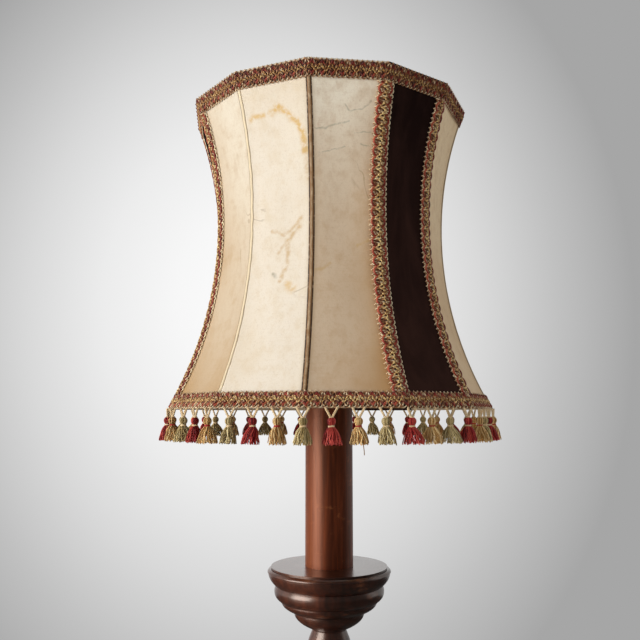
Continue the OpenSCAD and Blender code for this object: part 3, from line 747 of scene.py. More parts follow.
FINISHES: dict[str, Any] = {
    finish.name: finish
    for finish in (
        TurnedWood("column_wood", tint(26, 9, 5), tint(66, 27, 14), tint(106, 52, 30), 0.22,
                   (1.0, 0.7, 0.52, 1.0), tint(134, 78, 48), 0.75),
        TurnedWood("tube_wood", tint(62, 23, 9), tint(114, 51, 24), tint(152, 82, 44), 0.3,
                   (1.0, 0.5, 0.33, 1.0), tint(172, 104, 62)),
        Plain("felt", tint(42, 60, 44), tint(74, 92, 70), 0.92, 1600, 0.4 * MM),
        Plain("hardboard", tint(98, 70, 46), tint(134, 100, 68), 0.8, 700, 0.1 * MM),
        Plain("black_plastic", tint(20, 18, 17), tint(38, 35, 33), 0.34, 500, 0.02 * MM, 0.3, 0.2),
        Plain("lead_sheath", tint(206, 196, 168), tint(170, 158, 130), 0.5, 500, 0.03 * MM),
        Plain("porcelain", tint(236, 233, 224), tint(214, 208, 194), 0.16, 300, 0.01 * MM, 0.3, 0.6),
        Plain("cap_insulator", tint(16, 16, 18), tint(30, 30, 34), 0.22, 300, 0.01 * MM, 0.2, 0.3),
        Metal("iron", tint(86, 82, 78), tint(70, 48, 36), 0.55, 0.8, 0.7),
        Metal("steel", tint(188, 186, 180), tint(120, 112, 102), 0.32),
        Metal("brass", tint(214, 170, 92), tint(122, 88, 44), 0.28),
        Metal("cap_metal", tint(206, 206, 204), tint(160, 158, 152), 0.25),
        Metal("filament_wire", tint(96, 92, 90), tint(60, 58, 58), 0.4),
        Metal("frame_wire", tint(150, 140, 124), tint(104, 80, 56), 0.45, 0.9),
        Glass("bulb_glass", tint(250, 250, 246)),
        Silk("braid_red", tint(132, 42, 28), tint(62, 14, 10), tint(186, 90, 62)),
        Silk("braid_gold", tint(168, 114, 58), tint(62, 30, 14), tint(255, 226, 156)),
        Silk("braid_cream", tint(168, 114, 70), tint(74, 34, 20), tint(255, 236, 196)),
        Silk("braid_olive", tint(96, 50, 32), tint(38, 14, 10), tint(178, 124, 80)),
        # the braid's ground: its dark colour is partly painted shade in the gaps between the cords
        Silk("braid_ground", tint(52, 26, 16), tint(22, 10, 6), tint(86, 48, 28)),
        Silk("red_silk", tint(160, 28, 28), tint(66, 8, 12), tint(222, 92, 76)),
        Silk("gold_silk", tint(206, 152, 82), tint(116, 72, 30), tint(250, 218, 156)),
        Silk("sage_silk", tint(170, 143, 86), tint(80, 62, 32), tint(238, 216, 160)),
        Silk("hanger_silk", tint(218, 184, 134), tint(128, 92, 56), tint(252, 236, 200)),
        Velvet("dark_velvet", tint(26, 12, 10), tint(64, 40, 33)),
        SeamSkin("seam_skin", tint(232, 212, 176), tint(142, 102, 62)),
        Parchment("parchment", tint(232, 214, 186), tint(196, 160, 114)),
        # partly browning and partly painted shade: darker towards the left side beside the braid, and
        # towards the foot
        Parchment("parchment_left", tint(225, 212, 190), tint(185, 149, 103),
                  Toning(0.4, 0.0, 0.85, -0.1, 0.03), (), (0.1, 0.5)),
        Parchment(
            "parchment_middle", tint(240, 228, 210), tint(216, 190, 148),
            Toning(0.1, 0.15, 0.05, 0.25),
            (
                Stroke(((8, 383), (17, 387), (28, 387)), 5.5, AMBER, 0.8),
                Stroke(((40, 388), (50, 394), (62, 384), (73, 373), (79, 357), (80, 335)), 7.5,
                       AMBER, 0.95),
                Stroke(((80, 345), (81, 300)), 7.0, OCHRE, 0.5),
                Stroke(((30, 236), (46, 230), (58, 236), (72, 252)), 4.4, OCHRE, 0.65),
                Stroke(((68, 239), (52, 221), (54, 192), (46, 170)), 5.0, OCHRE, 0.7),
                Stroke(((50, 222), (40, 206)), 4.0, OCHRE, 0.55),
                Stroke(((36, 178), (40, 174)), 4.2, GREY_GREEN, 0.5),
                Stroke(((58, 163), (65, 156)), 9.0, AMBER, 0.6),
            ),
            (0.0, 0.95),
        ),
        Parchment(
            "parchment_right", tint(250, 237, 214), tint(190, 147, 98),
            # partly browning and partly painted shade: browner towards the right side and all over,
            # paler at the head
            Toning(0.2, 0.66, 0.0, -0.9, 0.4),
            (
                Stroke(((5, 362), (18, 362), (31, 367), (50, 373)), 1.7, GREY_GREEN, 0.42),
                Stroke(((56, 358), (76, 359)), 1.7, GREY_GREEN, 0.38),
                Stroke(((11, 331), (24, 334), (43, 340)), 1.7, GREY_GREEN, 0.38),
                Stroke(((64, 345), (77, 340)), 1.7, GREY_GREEN, 0.42),
                Stroke(((44, 392), (52, 384), (66, 388), (78, 398)), 1.6, GREY_GREEN, 0.38),
                Stroke(((58, 214), (72, 220), (80, 218)), 3.4, OCHRE, 0.6),
                Stroke(((4, 178), (16, 184), (24, 190)), 3.4, OCHRE, 0.55),
            ),
            (0.95, 0.3),
        ),
        # painted light: a paler cream than the other panels, standing in for the light that falls on
        # this panel
        Parchment("parchment_slice", tint(252, 226, 186), tint(204, 158, 106),
                  Toning(0.1, 0.2, 0.3, 0.0)),
    )
}


class Workshop:
    """Hands out each finish as a material, made once."""

    def __init__(self) -> None:
        """Starts with nothing made."""
        self._made: dict[str, bpy.types.Material] = {}

    def material(self, name: str) -> bpy.types.Material:
        """The material of that finish."""
        if name not in self._made:
            self._made[name] = FINISHES[name].make()
        return self._made[name]

    def dress(self, node: str, finish: str) -> None:
        """Gives a node of the frame its finish.

        Args:
            node: The node's name.
            finish: The finish's name.
        """
        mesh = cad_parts[node].data
        mesh.materials.clear()
        mesh.materials.append(self.material(finish))
        log.info("dressed %s in %s", node, finish)


# ------------------------------------------------------------------ mesh helpers


def make_mesh(name: str, points: Any, faces: Iterable[Sequence[int]], smooth: bool = True
              ) -> bpy.types.Mesh:
    """Makes a mesh from points and faces.

    Args:
        name: The mesh's name.
        points: The points' places.
        faces: The points of each face, counter-clockwise from outside.
        smooth: Whether the faces are shaded smooth.

    Returns:
        The mesh.
    """
    mesh = bpy.data.meshes.new(name)
    mesh.from_pydata([tuple(p) for p in points], [], [tuple(f) for f in faces])
    mesh.polygons.foreach_set("use_smooth", [smooth] * len(mesh.polygons))
    mesh.update()
    return mesh


def place_object(name: str, mesh: bpy.types.Mesh, *materials: bpy.types.Material
                 ) -> bpy.types.Object:
    """Puts a mesh into the scene as an object at the origin.

    Args:
        name: The object's name.
        mesh: Its mesh.
        *materials: Its materials, where the mesh has none yet.

    Returns:
        The object.
    """
    thing = bpy.data.objects.new(name, mesh)
    bpy.context.scene.collection.objects.link(thing)
    for material in materials:
        mesh.materials.append(material)
    return thing


def lattice(rows: int, columns: int, start: int = 0, closed: bool = False, flip: bool = False
            ) -> list[tuple[int, ...]]:
    """The faces of a grid of points that runs row by row.

    Args:
        rows: How many rows of points.
        columns: How many points in a row.
        start: The number of the first point.
        closed: Whether each row closes on itself.
        flip: Whether the faces look the other way.

    Returns:
        The faces' point numbers.
    """
    faces = []
    for r in range(rows - 1):
        for c in range(columns if closed else columns - 1):
            d = (c + 1) % columns
            low, high = r * columns, (r + 1) * columns
            corners = [low + c, low + d, high + d, high + c]
            faces.append(tuple(start + i for i in (reversed(corners) if flip else corners)))
    return faces


def sweep(path: Sequence[Vector], radius: float, sides: int, start: int
          ) -> tuple[list[Vector], list[tuple[int, ...]]]:
    """A round cord along a path, capped at its ends.

    Args:
        path: The points that it follows.
        radius: Its radius.
        sides: How many sides it has.
        start: The number of its first point.

    Returns:
        Its points and faces.
    """
    points: list[Vector] = []
    count = len(path)
    side = Vector((0, 0, 1)).cross(path[1] - path[0])
    if side.length < 1e-9:
        side = Vector((1, 0, 0))
    for i, centre in enumerate(path):
        ahead = (path[min(i + 1, count - 1)] - path[max(i - 1, 0)]).normalized()
        side = (side - ahead * side.dot(ahead)).normalized()
        up = ahead.cross(side)
        points += [
            centre + (side * math.cos(a) + up * math.sin(a)) * radius
            for a in (TAU * j / sides for j in range(sides))
        ]
    faces = lattice(count, sides, start, closed=True)
    last = start + (count - 1) * sides
    faces.append(tuple(start + j for j in reversed(range(sides))))
    faces.append(tuple(last + j for j in range(sides)))
    return points, faces


def bake(maker: bpy.types.Object, name: str) -> bpy.types.Object:
    """Turns an object with live modifiers into a plain one and removes the first.

    Args:
        maker: The object that carries the modifiers.
        name: The plain object's name.

    Returns:
        The plain object.
    """
    graph = bpy.context.evaluated_depsgraph_get()
    mesh = bpy.data.meshes.new_from_object(maker.evaluated_get(graph), depsgraph=graph)
    mesh.name = name
    bpy.data.objects.remove(maker)
    return place_object(name, mesh)


def run_tree(maker: bpy.types.Object, tree: bpy.types.NodeTree, **values: Any) -> None:
    """Puts a Geometry Nodes tree on an object and sets the tree's named inputs.

    Args:
        maker: The object.
        tree: The tree.
        **values: The inputs' values, with _ for a space.
    """
    modifier = maker.modifiers.new(tree.name, "NODES")
    modifier.node_group = tree
    items = tree.interface.items_tree
    sockets = {item.name: item.identifier for item in items if item.in_out == "INPUT"}
    for key, value in values.items():
        modifier[sockets[key.replace("_", " ")]] = value
    maker.update_tag()


class GeometryGraph(Graph):
    """A Geometry Nodes tree under construction."""

    KINDS = {
        float: "NodeSocketFloat",
        int: "NodeSocketInt",
        bpy.types.Material: "NodeSocketMaterial",
        bpy.types.Object: "NodeSocketObject",
    }

    def __init__(self, name: str, **inputs: type) -> None:
        """Starts a tree that takes a geometry and the named inputs.

        Args:
            name: The tree's name.
            **inputs: Each input's type by its name, with _ for a space.
        """
        super().__init__(bpy.data.node_groups.new(name, "GeometryNodeTree"))
        new_socket = self.tree.interface.new_socket
        new_socket("Geometry", in_out="INPUT", socket_type="NodeSocketGeometry")
        new_socket("Geometry", in_out="OUTPUT", socket_type="NodeSocketGeometry")
        for key, kind in inputs.items():
            new_socket(key.replace("_", " "), in_out="INPUT", socket_type=self.KINDS[kind])
        self.entry = self.tree.nodes.new("NodeGroupInput")

    def given(self, name: str) -> Wire:
        """The value of a named input."""
        return Wire(self, self.entry.outputs[name])

    def field(self, name: str, kind: str = "FLOAT") -> Wire:
        """A named attribute of the geometry."""
        settings, inputs = {"data_type": kind}, {"Name": name}
        return self.add("GeometryNodeInputNamedAttribute", settings, inputs, "Attribute")

    def store(self, geometry: Wire, name: str, value: Any, kind: str = "FLOAT") -> Wire:
        """Stores a named attribute on a geometry's points.

        Args:
            geometry: The geometry.
            name: The attribute's name.
            value: Its value at each point.
            kind: Its type.

        Returns:
            The geometry with the attribute.
        """
        settings = {"data_type": kind, "domain": "POINT"}
        inputs = {"Geometry": geometry, "Name": name, "Value": value}
        return self.add("GeometryNodeStoreNamedAttribute", settings, inputs, "Geometry")

    def chance(self, low: float, high: float, number: Wire, seed: int) -> Wire:
        """A random number that stays the same for the same element and seed."""
        inputs = {2: low, 3: high, "ID": number, "Seed": seed}
        return self.add("FunctionNodeRandomValue", {"data_type": "FLOAT"}, inputs, 1)

    def cord(self, line: Wire, radius: Any, sides: int, material: Any) -> Wire:
        """Gives curves a round section, smooth shading and a material.

        Args:
            line: The curves.
            radius: The section's radius.
            sides: How many sides it has.
            material: The cord's material.

        Returns:
            The cords' mesh.
        """
        size = {"Resolution": sides, "Radius": radius}
        ring = self.add("GeometryNodeCurvePrimitiveCircle", {}, size, "Curve")
        inputs = {"Curve": line, "Profile Curve": ring, "Fill Caps": True}
        tube = self.add("GeometryNodeCurveToMesh", {}, inputs, "Mesh")
        smooth = self.add("GeometryNodeSetShadeSmooth", {}, {"Geometry": tube}, "Geometry")
        dressed = {"Geometry": smooth, "Material": material}
        return self.add("GeometryNodeSetMaterial", {}, dressed, "Geometry")

    def end(self, *parts: Wire) -> bpy.types.NodeTree:
        """Joins the parts, realizes every instance and closes the tree.

        Args:
            *parts: The geometries.

        Returns:
            The finished tree.
        """
        joined = self.add("GeometryNodeJoinGeometry", {}, {"Geometry": list(parts)}, "Geometry")
        real = self.add("GeometryNodeRealizeInstances", {}, {"Geometry": joined}, "Geometry")
        exit_node = self.tree.nodes.new("NodeGroupOutput")
        self.tree.links.new(real.socket, exit_node.inputs[0])
        return self.tree


# ------------------------------------------------------------------ the shade's shape


@dataclass(frozen=True)
class ShadeShape:
    """The twelve-sided shade. A flat's outer face is an arc in side view, bulging to the axis."""

    low_z: float
    height: float
    low_flat: float = 220 * MM
    waist_flat: float = 158 * MM
    waist_up: float = 245 * MM
    flats: int = 12
    first_corner: float = math.radians(-157.45)

    @property
    def half(self) -> float:
        """Half the angle that a flat takes."""
        return math.pi / self.flats

    @property
    def curve(self) -> float:
        """The radius of the side view's arc."""
        sag = self.low_flat - self.waist_flat
        return (self.waist_up**2 + sag**2) / (2 * sag)

    def flat_at(self, up: float, out: float = 0.0) -> float:
        """How far a flat's face is from the axis.

        Args:
            up: Height above the lower edge.
            out: How far outside the parchment's outer face.

        Returns:
            The distance.
        """
        radius = self.curve - out
        return self.waist_flat + self.curve - math.sqrt(radius**2 - (up - self.waist_up) ** 2)

    def lean(self, up: float) -> float:
        """The angle by which a face looks down from the level, in radians."""
        return math.asin((up - self.waist_up) / self.curve)

    def corner(self, number: int) -> float:
        """The azimuth of a corner."""
        return self.first_corner + 2 * self.half * number

    def arc(self, up: float) -> float:
        """Length along a face from the lower edge to a height."""
        return self.curve * (self.lean(up) - self.lean(0.0))

    def up_at(self, arc: float) -> float:
        """The height at a length along a face."""
        return self.waist_up + self.curve * math.sin(self.lean(0.0) + arc / self.curve)

    def on_flat(self, number: int, aside: float, up: float, out: float = 0.0) -> Vector:
        """A point on a flat.

        Args:
            number: The corner that the flat starts from.
            aside: Distance from the flat's middle line, towards the next corner.
            up: Height above the lower edge.
            out: How far outside the parchment's outer face.

        Returns:
            The point.
        """
        middle = self.corner(number) + self.half
        away = self.flat_at(up, out)
        return Vector((
            math.cos(middle) * away - math.sin(middle) * aside,
            math.sin(middle) * away + math.cos(middle) * aside,
            self.low_z + up,
        ))

    def facing(self, azimuth: float, up: float) -> Vector:
        """The outward direction of a face that looks to an azimuth, at a height."""
        level, down = math.cos(self.lean(up)), -math.sin(self.lean(up))
        return Vector((math.cos(azimuth) * level, math.sin(azimuth) * level, down))


def add_numbers(mesh: bpy.types.Mesh, name: str, values: Sequence[float]) -> None:
    """Stores a number at each point of a mesh."""
    mesh.attributes.new(name, "FLOAT", "POINT").data.foreach_set("value", list(values))


def add_vectors(mesh: bpy.types.Mesh, name: str, values: Sequence[Vector]) -> None:
    """Stores a vector at each point of a mesh."""
    flat = [c for v in values for c in v]
    mesh.attributes.new(name, "FLOAT_VECTOR", "POINT").data.foreach_set("vector", flat)


# ------------------------------------------------------------------ panels


@dataclass
class Panel:
    """One skin or velvet panel, laced by its sides to two upright wires."""

    shape: ShadeShape
    number: int
    name: str
    finish: str
    slot: str
    thickness: float = 1.0 * MM
    columns: int = 25
    rows: int = 73
    gap: float = 0.15 * MM
    ripple: float = 0.7 * MM

    def build(self, workshop: Workshop) -> bpy.types.Object:
        """Args:
            workshop: Where the skin's material comes from.

        Returns:
            The panel.
        """
        mesh = self._mesh()
        panel = place_object(self.name + "_skin", mesh, workshop.material(self.finish))
        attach(panel, SHADE_BODY)
        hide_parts(self.name)
        low, waist = (self._half_width(up) * 2 for up in (0.0, self.shape.waist_up))
        length = self.shape.arc(self.shape.height)
        area = self._flat_area()
        log.info("%s: %.0f mm wide at its foot, %.0f at its waist", self.name, low / MM, waist / MM)
        return panel

    def _half_width(self, up: float) -> float:
        """Half the panel's width at a height."""
        half = self.shape.half
        return self.shape.flat_at(up) * math.tan(half) - self.gap / math.cos(half)

    def _flat_area(self) -> float:
        """Adds up the panel's width along its curve.

        Returns:
            The cut's area in square metres.
        """
        steps = 60
        length = self.shape.arc(self.shape.height)
        heights = [self.shape.up_at(length * i / steps) for i in range(steps + 1)]
        widths = [2 * self._half_width(up) for up in heights]
        return (sum(widths) - (widths[0] + widths[-1]) / 2) * length / steps

    def _sink(self, across: float, along: float) -> float:
        """How far the skin lies inside its taut face: it cockles, and its lacing pulls it in.

        Args:
            across: Place across the panel, from -1 to 1.
            along: Place up the panel, from 0 to 1.

        Returns:
            The distance inwards.
        """
        n = self.number + 1
        held = (1 - across**4) * min(1.0, 14 * along, 14 * (1 - along))
        wave = (
            0.55 * math.sin(TAU * (1.3 * along + 0.17 * n) + 1.9 * across)
            + 0.35 * math.sin(TAU * (2.6 * along + 0.41 * n) - 2.6 * across + n)
            + 0.3 * math.sin(TAU * (0.7 * along) + 4.1 * across + 1.7 * n)
            + 0.12 * math.sin(TAU * (7.3 * along + 0.2 * n) + 6.0 * across)
        )
        laced = math.exp(-(((abs(across) - 0.82) / 0.07) ** 2))
        pull = laced * (0.5 + 0.3 * math.sin(9 * along + n))
        return self.ripple * held * (0.75 + 0.75 * wave + pull)

    def _mesh(self) -> bpy.types.Mesh:
        """Makes the skin as a closed thin slab, which carries its flat coordinates.

        Returns:
            The skin's mesh.
        """
        points: list[Vector] = []
        flat: list[tuple[float, float]] = []
        edge: list[float] = []
        side: list[float] = []
        rise: list[float] = []
        length = self.shape.arc(self.shape.height)
        for layer in range(2):
            for r in range(self.rows):
                up = self.shape.up_at(length * r / (self.rows - 1))
                half = self._half_width(up)
                for c in range(self.columns):
                    across = 2 * c / (self.columns - 1) - 1
                    sink = self._sink(across, r / (self.rows - 1)) + layer * self.thickness
                    points.append(self.shape.on_flat(self.number, across * half, up, -sink))
                    flat.append(((across + 1) * half, length * r / (self.rows - 1)))
                    edge.append((1 - abs(across)) * half)
                    side.append(across)
                    rise.append(r / (self.rows - 1))
        size = self.rows * self.columns
        faces = lattice(self.rows, self.columns) + lattice(self.rows, self.columns, size, flip=True)
        faces += self._rim(size)
        mesh = make_mesh(self.name + "_skin", points, faces)
        add_numbers(mesh, "edge", edge)
        add_numbers(mesh, "side", side)
        add_numbers(mesh, "rise", rise)
        cut = mesh.uv_layers.new(name="panel")
        for loop in mesh.loops:
            cut.data[loop.index].uv = flat[loop.vertex_index]
        return mesh

    def _rim(self, size: int) -> list[tuple[int, ...]]:
        """Closes the slab round its rim.

        Args:
            size: How many points each of the slab's two layers has.

        Returns:
            The rim's faces.
        """
        columns, rows = self.columns, self.rows
        rim = list(range(columns))
        rim += [r * columns + columns - 1 for r in range(1, rows)]
        rim += [(rows - 1) * columns + c for c in reversed(range(columns - 1))]
        rim += [r * columns for r in reversed(range(1, rows - 1))]
        return [(b, a, a + size, b + size) for a, b in zip(rim, rim[1:] + rim[:1])]


# ------------------------------------------------------------------ seams


@dataclass
class SeamStrips:
    """The pale strips folded over the six plain corners."""

    shape: ShadeShape
    corners: tuple[int, ...] = (1, 2, 5, 6, 9, 10)
    width: float = 4.6 * MM
    height: float = 0.5 * MM
    low_up: float = 20.2 * MM
    high_up: float = 413.8 * MM
    rows: int = 60
    usual_browning: float = 0.3
    browning: dict[int, float] = field(default_factory=lambda: {1: 0.0, 2: 0.75})

    CLEARANCE = 0.1 * MM  # between the parchment and the strip's underside
    SECTION = (  # shares of half the width and of the height
        (-1.0, 0.1), (-0.86, 0.75), (-0.5, 1.0), (0.0, 1.1), (0.5, 1.0), (0.86, 0.75), (1.0, 0.1),
        (0.6, 0.0), (0.0, 0.0), (-0.6, 0.0),
    )

    def build(self, workshop: Workshop) -> bpy.types.Object:
        """Makes the six strips as one piece.

        Args:
            workshop: Where the strips' material comes from.

        Returns:
            The strips.
        """
        points: list[Vector] = []
        faces: list[tuple[int, ...]] = []
        shade: list[float] = []
        size = len(self.SECTION)
        for corner in self.corners:
            start = len(points)
            brown = self.browning.get(corner, self.usual_browning)
            for r in range(self.rows):
                up = self.low_up + (self.high_up - self.low_up) * r / (self.rows - 1)
                waver = self._waver(corner, up)
                for s, h in self.SECTION:
                    out = h * self.height + self.CLEARANCE
                    points.append(self._point(corner, s * self.width / 2 + waver, up, out))
                    # painted shade: each strip is browner along both edges, where it meets the panel
                    shade.append(brown + 0.35 * (abs(s) > 0.8) - 0.1 * (s == 0))
            faces += lattice(self.rows, size, start, closed=True)
            last = start + (self.rows - 1) * size
            faces.append(tuple(start + i for i in reversed(range(size))))
            faces.append(tuple(last + i for i in range(size)))
        mesh = make_mesh("seam_strips_laid", points, faces)
        add_numbers(mesh, "shade", shade)
        strips = place_object("seam_strips_laid", mesh, workshop.material("seam_skin"))
        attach(strips, SHADE_BODY)
        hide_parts("seam_strips")
        return strips

    @staticmethod
    def _waver(corner: int, up: float) -> float:
        """How far a strip strays to the side at a height."""
        return 0.25 * MM * math.sin(230 * up + corner) + 0.2 * MM * math.sin(61 * up + 2 * corner)

    def _point(self, corner: int, aside: float, up: float, out: float) -> Vector:
        """A point of the strip, beside the corner's ridge."""
        flat = corner if aside >= 0 else corner - 1
        half = self.shape.flat_at(up, out) * math.tan(self.shape.half)
        return self.shape.on_flat(flat, aside - math.copysign(half, aside if aside else 1.0), up, out)


# ------------------------------------------------------------------ braid


@dataclass(frozen=True)
class Strand:
    """One cord of the braid, as shares of the braid's width, thickness and repeat."""

    finish: str
    middle: float
    swing: float
    phase: float
    radius: float
    lift: float
    weave: float = 0.0
    rate: float = 1.0
    loop: float = 0.0
    arch: float = 0.0
    ply: float = 4.5


SILK_TONE = (0.32, 0.68)  # the range of tone among a cord's stretches
STRETCH = 9  # how many of the line's points share one tone
PLY_TONE = 0.34
CORD_SIDES = 4
STRANDS = (
    Strand("braid_olive", 0.0, 0.39, 0.9, 0.27, 0.30, 0.08),
    Strand("braid_olive", 0.0, 0.39, 0.9 + math.pi, 0.27, 0.28, -0.08),
    Strand("braid_cream", 0.0, 0.41, 0.0, 0.29, 0.46, -0.12),
    Strand("braid_cream", 0.0, 0.41, math.pi, 0.29, 0.44, 0.0),
    Strand("braid_cream", 0.43, 0.075, 0.5, 0.27, 0.36, 0.0, 2.0, 0.085, 0.0, 2.0),
    Strand("braid_cream", -0.43, 0.075, 0.5, 0.27, 0.36, 0.0, 2.0, 0.085, 0.0, 2.0),
    Strand("braid_red", 0.25, 0.13, 0.4, 0.52, 0.40, 0.0, 1.0, 0.15, 0.26, 1.0),
    Strand("braid_red", -0.25, -0.13, 0.4, 0.52, 0.40, 0.0, 1.0, 0.15, 0.26, 1.0),
    Strand("braid_gold", 0.0, 0.20, 1.3, 0.27, 0.60, 0.12, 1.0, 0.0, 0.0, 5.5),
    Strand("braid_olive", 0.0, 0.20, 1.3 + math.pi, 0.27, 0.58, -0.08, 1.0, 0.0, 0.0, 5.5),
    Strand("braid_gold", 0.0, 0.06, 0.3, 0.24, 0.70, 0.0, 2.0, 0.05, 0.0, 3.0),
)


def braid_tree(workshop: Workshop) -> bpy.types.NodeTree:
    """The tree that weaves the braid's cords along a line that knows its own directions.

    The line carries the vectors across, along and out, and its length so far.

    Args:
        workshop: Where the cords' materials come from.

    Returns:
        The tree.
    """
    graph = GeometryGraph(
        "Woven Braid", Width=float, Thickness=float, Repeat=float, Fold=float, Tone=float
    )
    width, thick, repeat, fold = (graph.given(n) for n in ("Width", "Thickness", "Repeat", "Fold"))
    line = graph.given("Geometry")
    across, along, out = (graph.field(n, "FLOAT_VECTOR") for n in ("across", "along", "out"))
    turn = graph.field("length") / repeat * TAU
    parts = []
    for number, strand in enumerate(STRANDS):
        angle = turn * strand.rate + strand.phase
        aside = width * (angle.call("SINE") * strand.swing + strand.middle)
        ahead = repeat * strand.loop * angle.call("COSINE")
        lift = (angle * 2).call("COSINE") * strand.weave + strand.lift
        lift = thick * (lift + angle.call("SINE") * strand.arch) - fold * aside.call("ABSOLUTE")
        offset = graph.vector("ADD", graph.vector("SCALE", across, None, aside),
                              graph.vector("SCALE", out, None, lift))
        offset = graph.vector("ADD", offset, graph.vector("SCALE", along, None, ahead))
        inputs = {"Geometry": line, "Offset": offset}
        moved = graph.add("GeometryNodeSetPosition", {}, inputs, "Geometry")
        stretch = (graph.add("GeometryNodeInputIndex") / STRETCH).call("FLOOR")
        plied = (turn * strand.ply + number * 1.7).call("SINE") * PLY_TONE
        # the braid's painted light shifts every cord's tone: lighter on the rib braids, darker on the
        # top braid
        shade = graph.chance(*SILK_TONE, stretch, 11 + number) + plied + graph.given("Tone")
        moved = graph.store(moved, "shade", shade)
        curve = graph.add("GeometryNodeMeshToCurve", {}, {"Mesh": moved}, "Curve")
        silk = workshop.material(strand.finish)
        parts.append(graph.cord(curve, thick * strand.radius, CORD_SIDES, silk))
    return graph.end(*parts)


@dataclass
class Line:
    """A line for a braid to follow: its points, with the directions across and out of the braid."""

    points: list[Vector]
    across: list[Vector]
    out: list[Vector]
    closed: bool

    def length(self) -> float:
        """The line's whole length."""
        following = self.points[1:] + (self.points[:1] if self.closed else [])
        return sum((b - a).length for a, b in zip(self.points, following))

    def maker(self, name: str) -> bpy.types.Object:
        """Makes the line into an object that a tree can work on.

        Args:
            name: The object's name.

        Returns:
            The object, whose points carry the three directions and the length so far.
        """
        count = len(self.points)
        edges = [(i, i + 1) for i in range(count - 1)] + ([(count - 1, 0)] if self.closed else [])
        mesh = bpy.data.meshes.new(name)
        mesh.from_pydata([tuple(p) for p in self.points], edges, [])
        run = [0.0]
        for a, b in zip(self.points, self.points[1:]):
            run.append(run[-1] + (b - a).length)
        add_numbers(mesh, "length", run)
        add_vectors(mesh, "across", self.across)
        add_vectors(mesh, "out", self.out)
        add_vectors(mesh, "along", [a.cross(o) for a, o in zip(self.across, self.out)])
        return place_object(name, mesh)


@dataclass
class Braid:
    """A length of braid: a dark woven ground with cords laced over it; the ground's dark colour is
    partly painted shade in the gaps between the cords.
    """

    name: str
    replaced: str
    line: Line
    width: float
    thickness: float = 3.0 * MM
    repeat: float = 12.8 * MM
    fold: float = 0.0
    ground_share: float = 0.4
    ground_rise: float = 0.24
    # added to every cord's tone: painted light above 0, painted shade below 0
    tone: float = 0.0

    def build(self, tree: bpy.types.NodeTree, workshop: Workshop) -> bpy.types.Object:
        """Weaves the braid and sews it to the shade.

        Args:
            tree: The tree that weaves the cords.
            workshop: Where the ground's material comes from.

        Returns:
            The braid.
        """
        length = self.line.length()
        repeat = length / round(length / self.repeat)
        maker = self.line.maker(self.name + "_line")
        run_tree(
            maker, tree, Width=self.width, Thickness=self.thickness, Repeat=repeat, Fold=self.fold,
            Tone=self.tone,
        )
        braid = bake(maker, self.name)
        ground = self._ground(workshop)
        join_into(braid, ground)
        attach(braid, SHADE_BODY)
        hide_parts(self.replaced)
        log.info("%s: %.2f m of braid, %d triangles", self.name, length, count_triangles(braid))
        return braid

    def _ground(self, workshop: Workshop) -> bpy.types.Object:
        """Makes the flat tape under the cords, whose dark colour is partly painted shade between them.

        Args:
            workshop: Where the tape's material comes from.

        Returns:
            The tape.
        """
        rise = self.ground_rise * self.thickness
        side = self.ground_share * self.width
        shoulder = rise * 0.7
        section = [
            (-side, 0.0), (-side, shoulder), (0.0, rise), (side, shoulder), (side, 0.0), (0.0, 0.0),
        ]
        n = len(section)
        points: list[Vector] = []
        for point, across, out in zip(self.line.points, self.line.across, self.line.out):
            points += [point + across * s + out * (h - self.fold * abs(s)) for s, h in section]
        rows = len(self.line.points)
        faces = lattice(rows, n, closed=True, flip=True)
        last = (rows - 1) * n
        if self.line.closed:
            faces += [(j, (j + 1) % n, last + (j + 1) % n, last + j) for j in range(n)]
        else:
            faces.append(tuple(range(n)))
            faces.append(tuple(last + i for i in reversed(range(n))))
        mesh = make_mesh(self.name + "_ground", points, faces)
        add_numbers(mesh, "shade", [0.5] * len(points))
        return place_object(self.name + "_ground", mesh, workshop.material("braid_ground"))


def join_into(kept: bpy.types.Object, *others: bpy.types.Object) -> None:
    """Joins other objects into one.

    Args:
        kept: The object that takes the others in.
        *others: The objects that end.
    """
    with bpy.context.temp_override(
        active_object=kept, object=kept, selected_objects=[kept, *others],
        selected_editable_objects=[kept, *others],
    ):
        bpy.ops.object.join()


def count_triangles(thing: bpy.types.Object) -> int:
    """How many triangles a mesh object has."""
    return sum(len(p.vertices) - 2 for p in thing.data.polygons)


def ring_line(shape: ShadeShape, up: float, out: float, step: float = 0.8 * MM) -> Line:
    """A closed line round the shade at one height, turning softly at the corners.

    Args:
        shape: The shade.
        up: Height above the lower edge.
        out: How far outside the parchment.
        step: Distance between points.

    Returns:
        The line.
    """
    half_width = shape.flat_at(up, out) * math.tan(shape.half)
    steps = round(2 * half_width / step)
    ease = 5 * MM  # how far from a corner the turn starts
    points, across, outs = [], [], []
    for number in range(shape.flats):
        for i in range(steps):
            aside = half_width * (2 * (i + 0.5) / steps - 1)
            near = max(0.0, 1 - (half_width - abs(aside)) / ease)
            middle = shape.corner(number) + shape.half
            azimuth = middle + math.copysign(near**2 * shape.half, aside)
            facing = shape.facing(azimuth, up)
            level = Vector((-math.sin(azimuth), math.cos(azimuth), 0))
            points.append(shape.on_flat(number, aside, up, out))
            outs.append(facing)
            across.append(facing.cross(level))
    return Line(points, across, outs, closed=True)


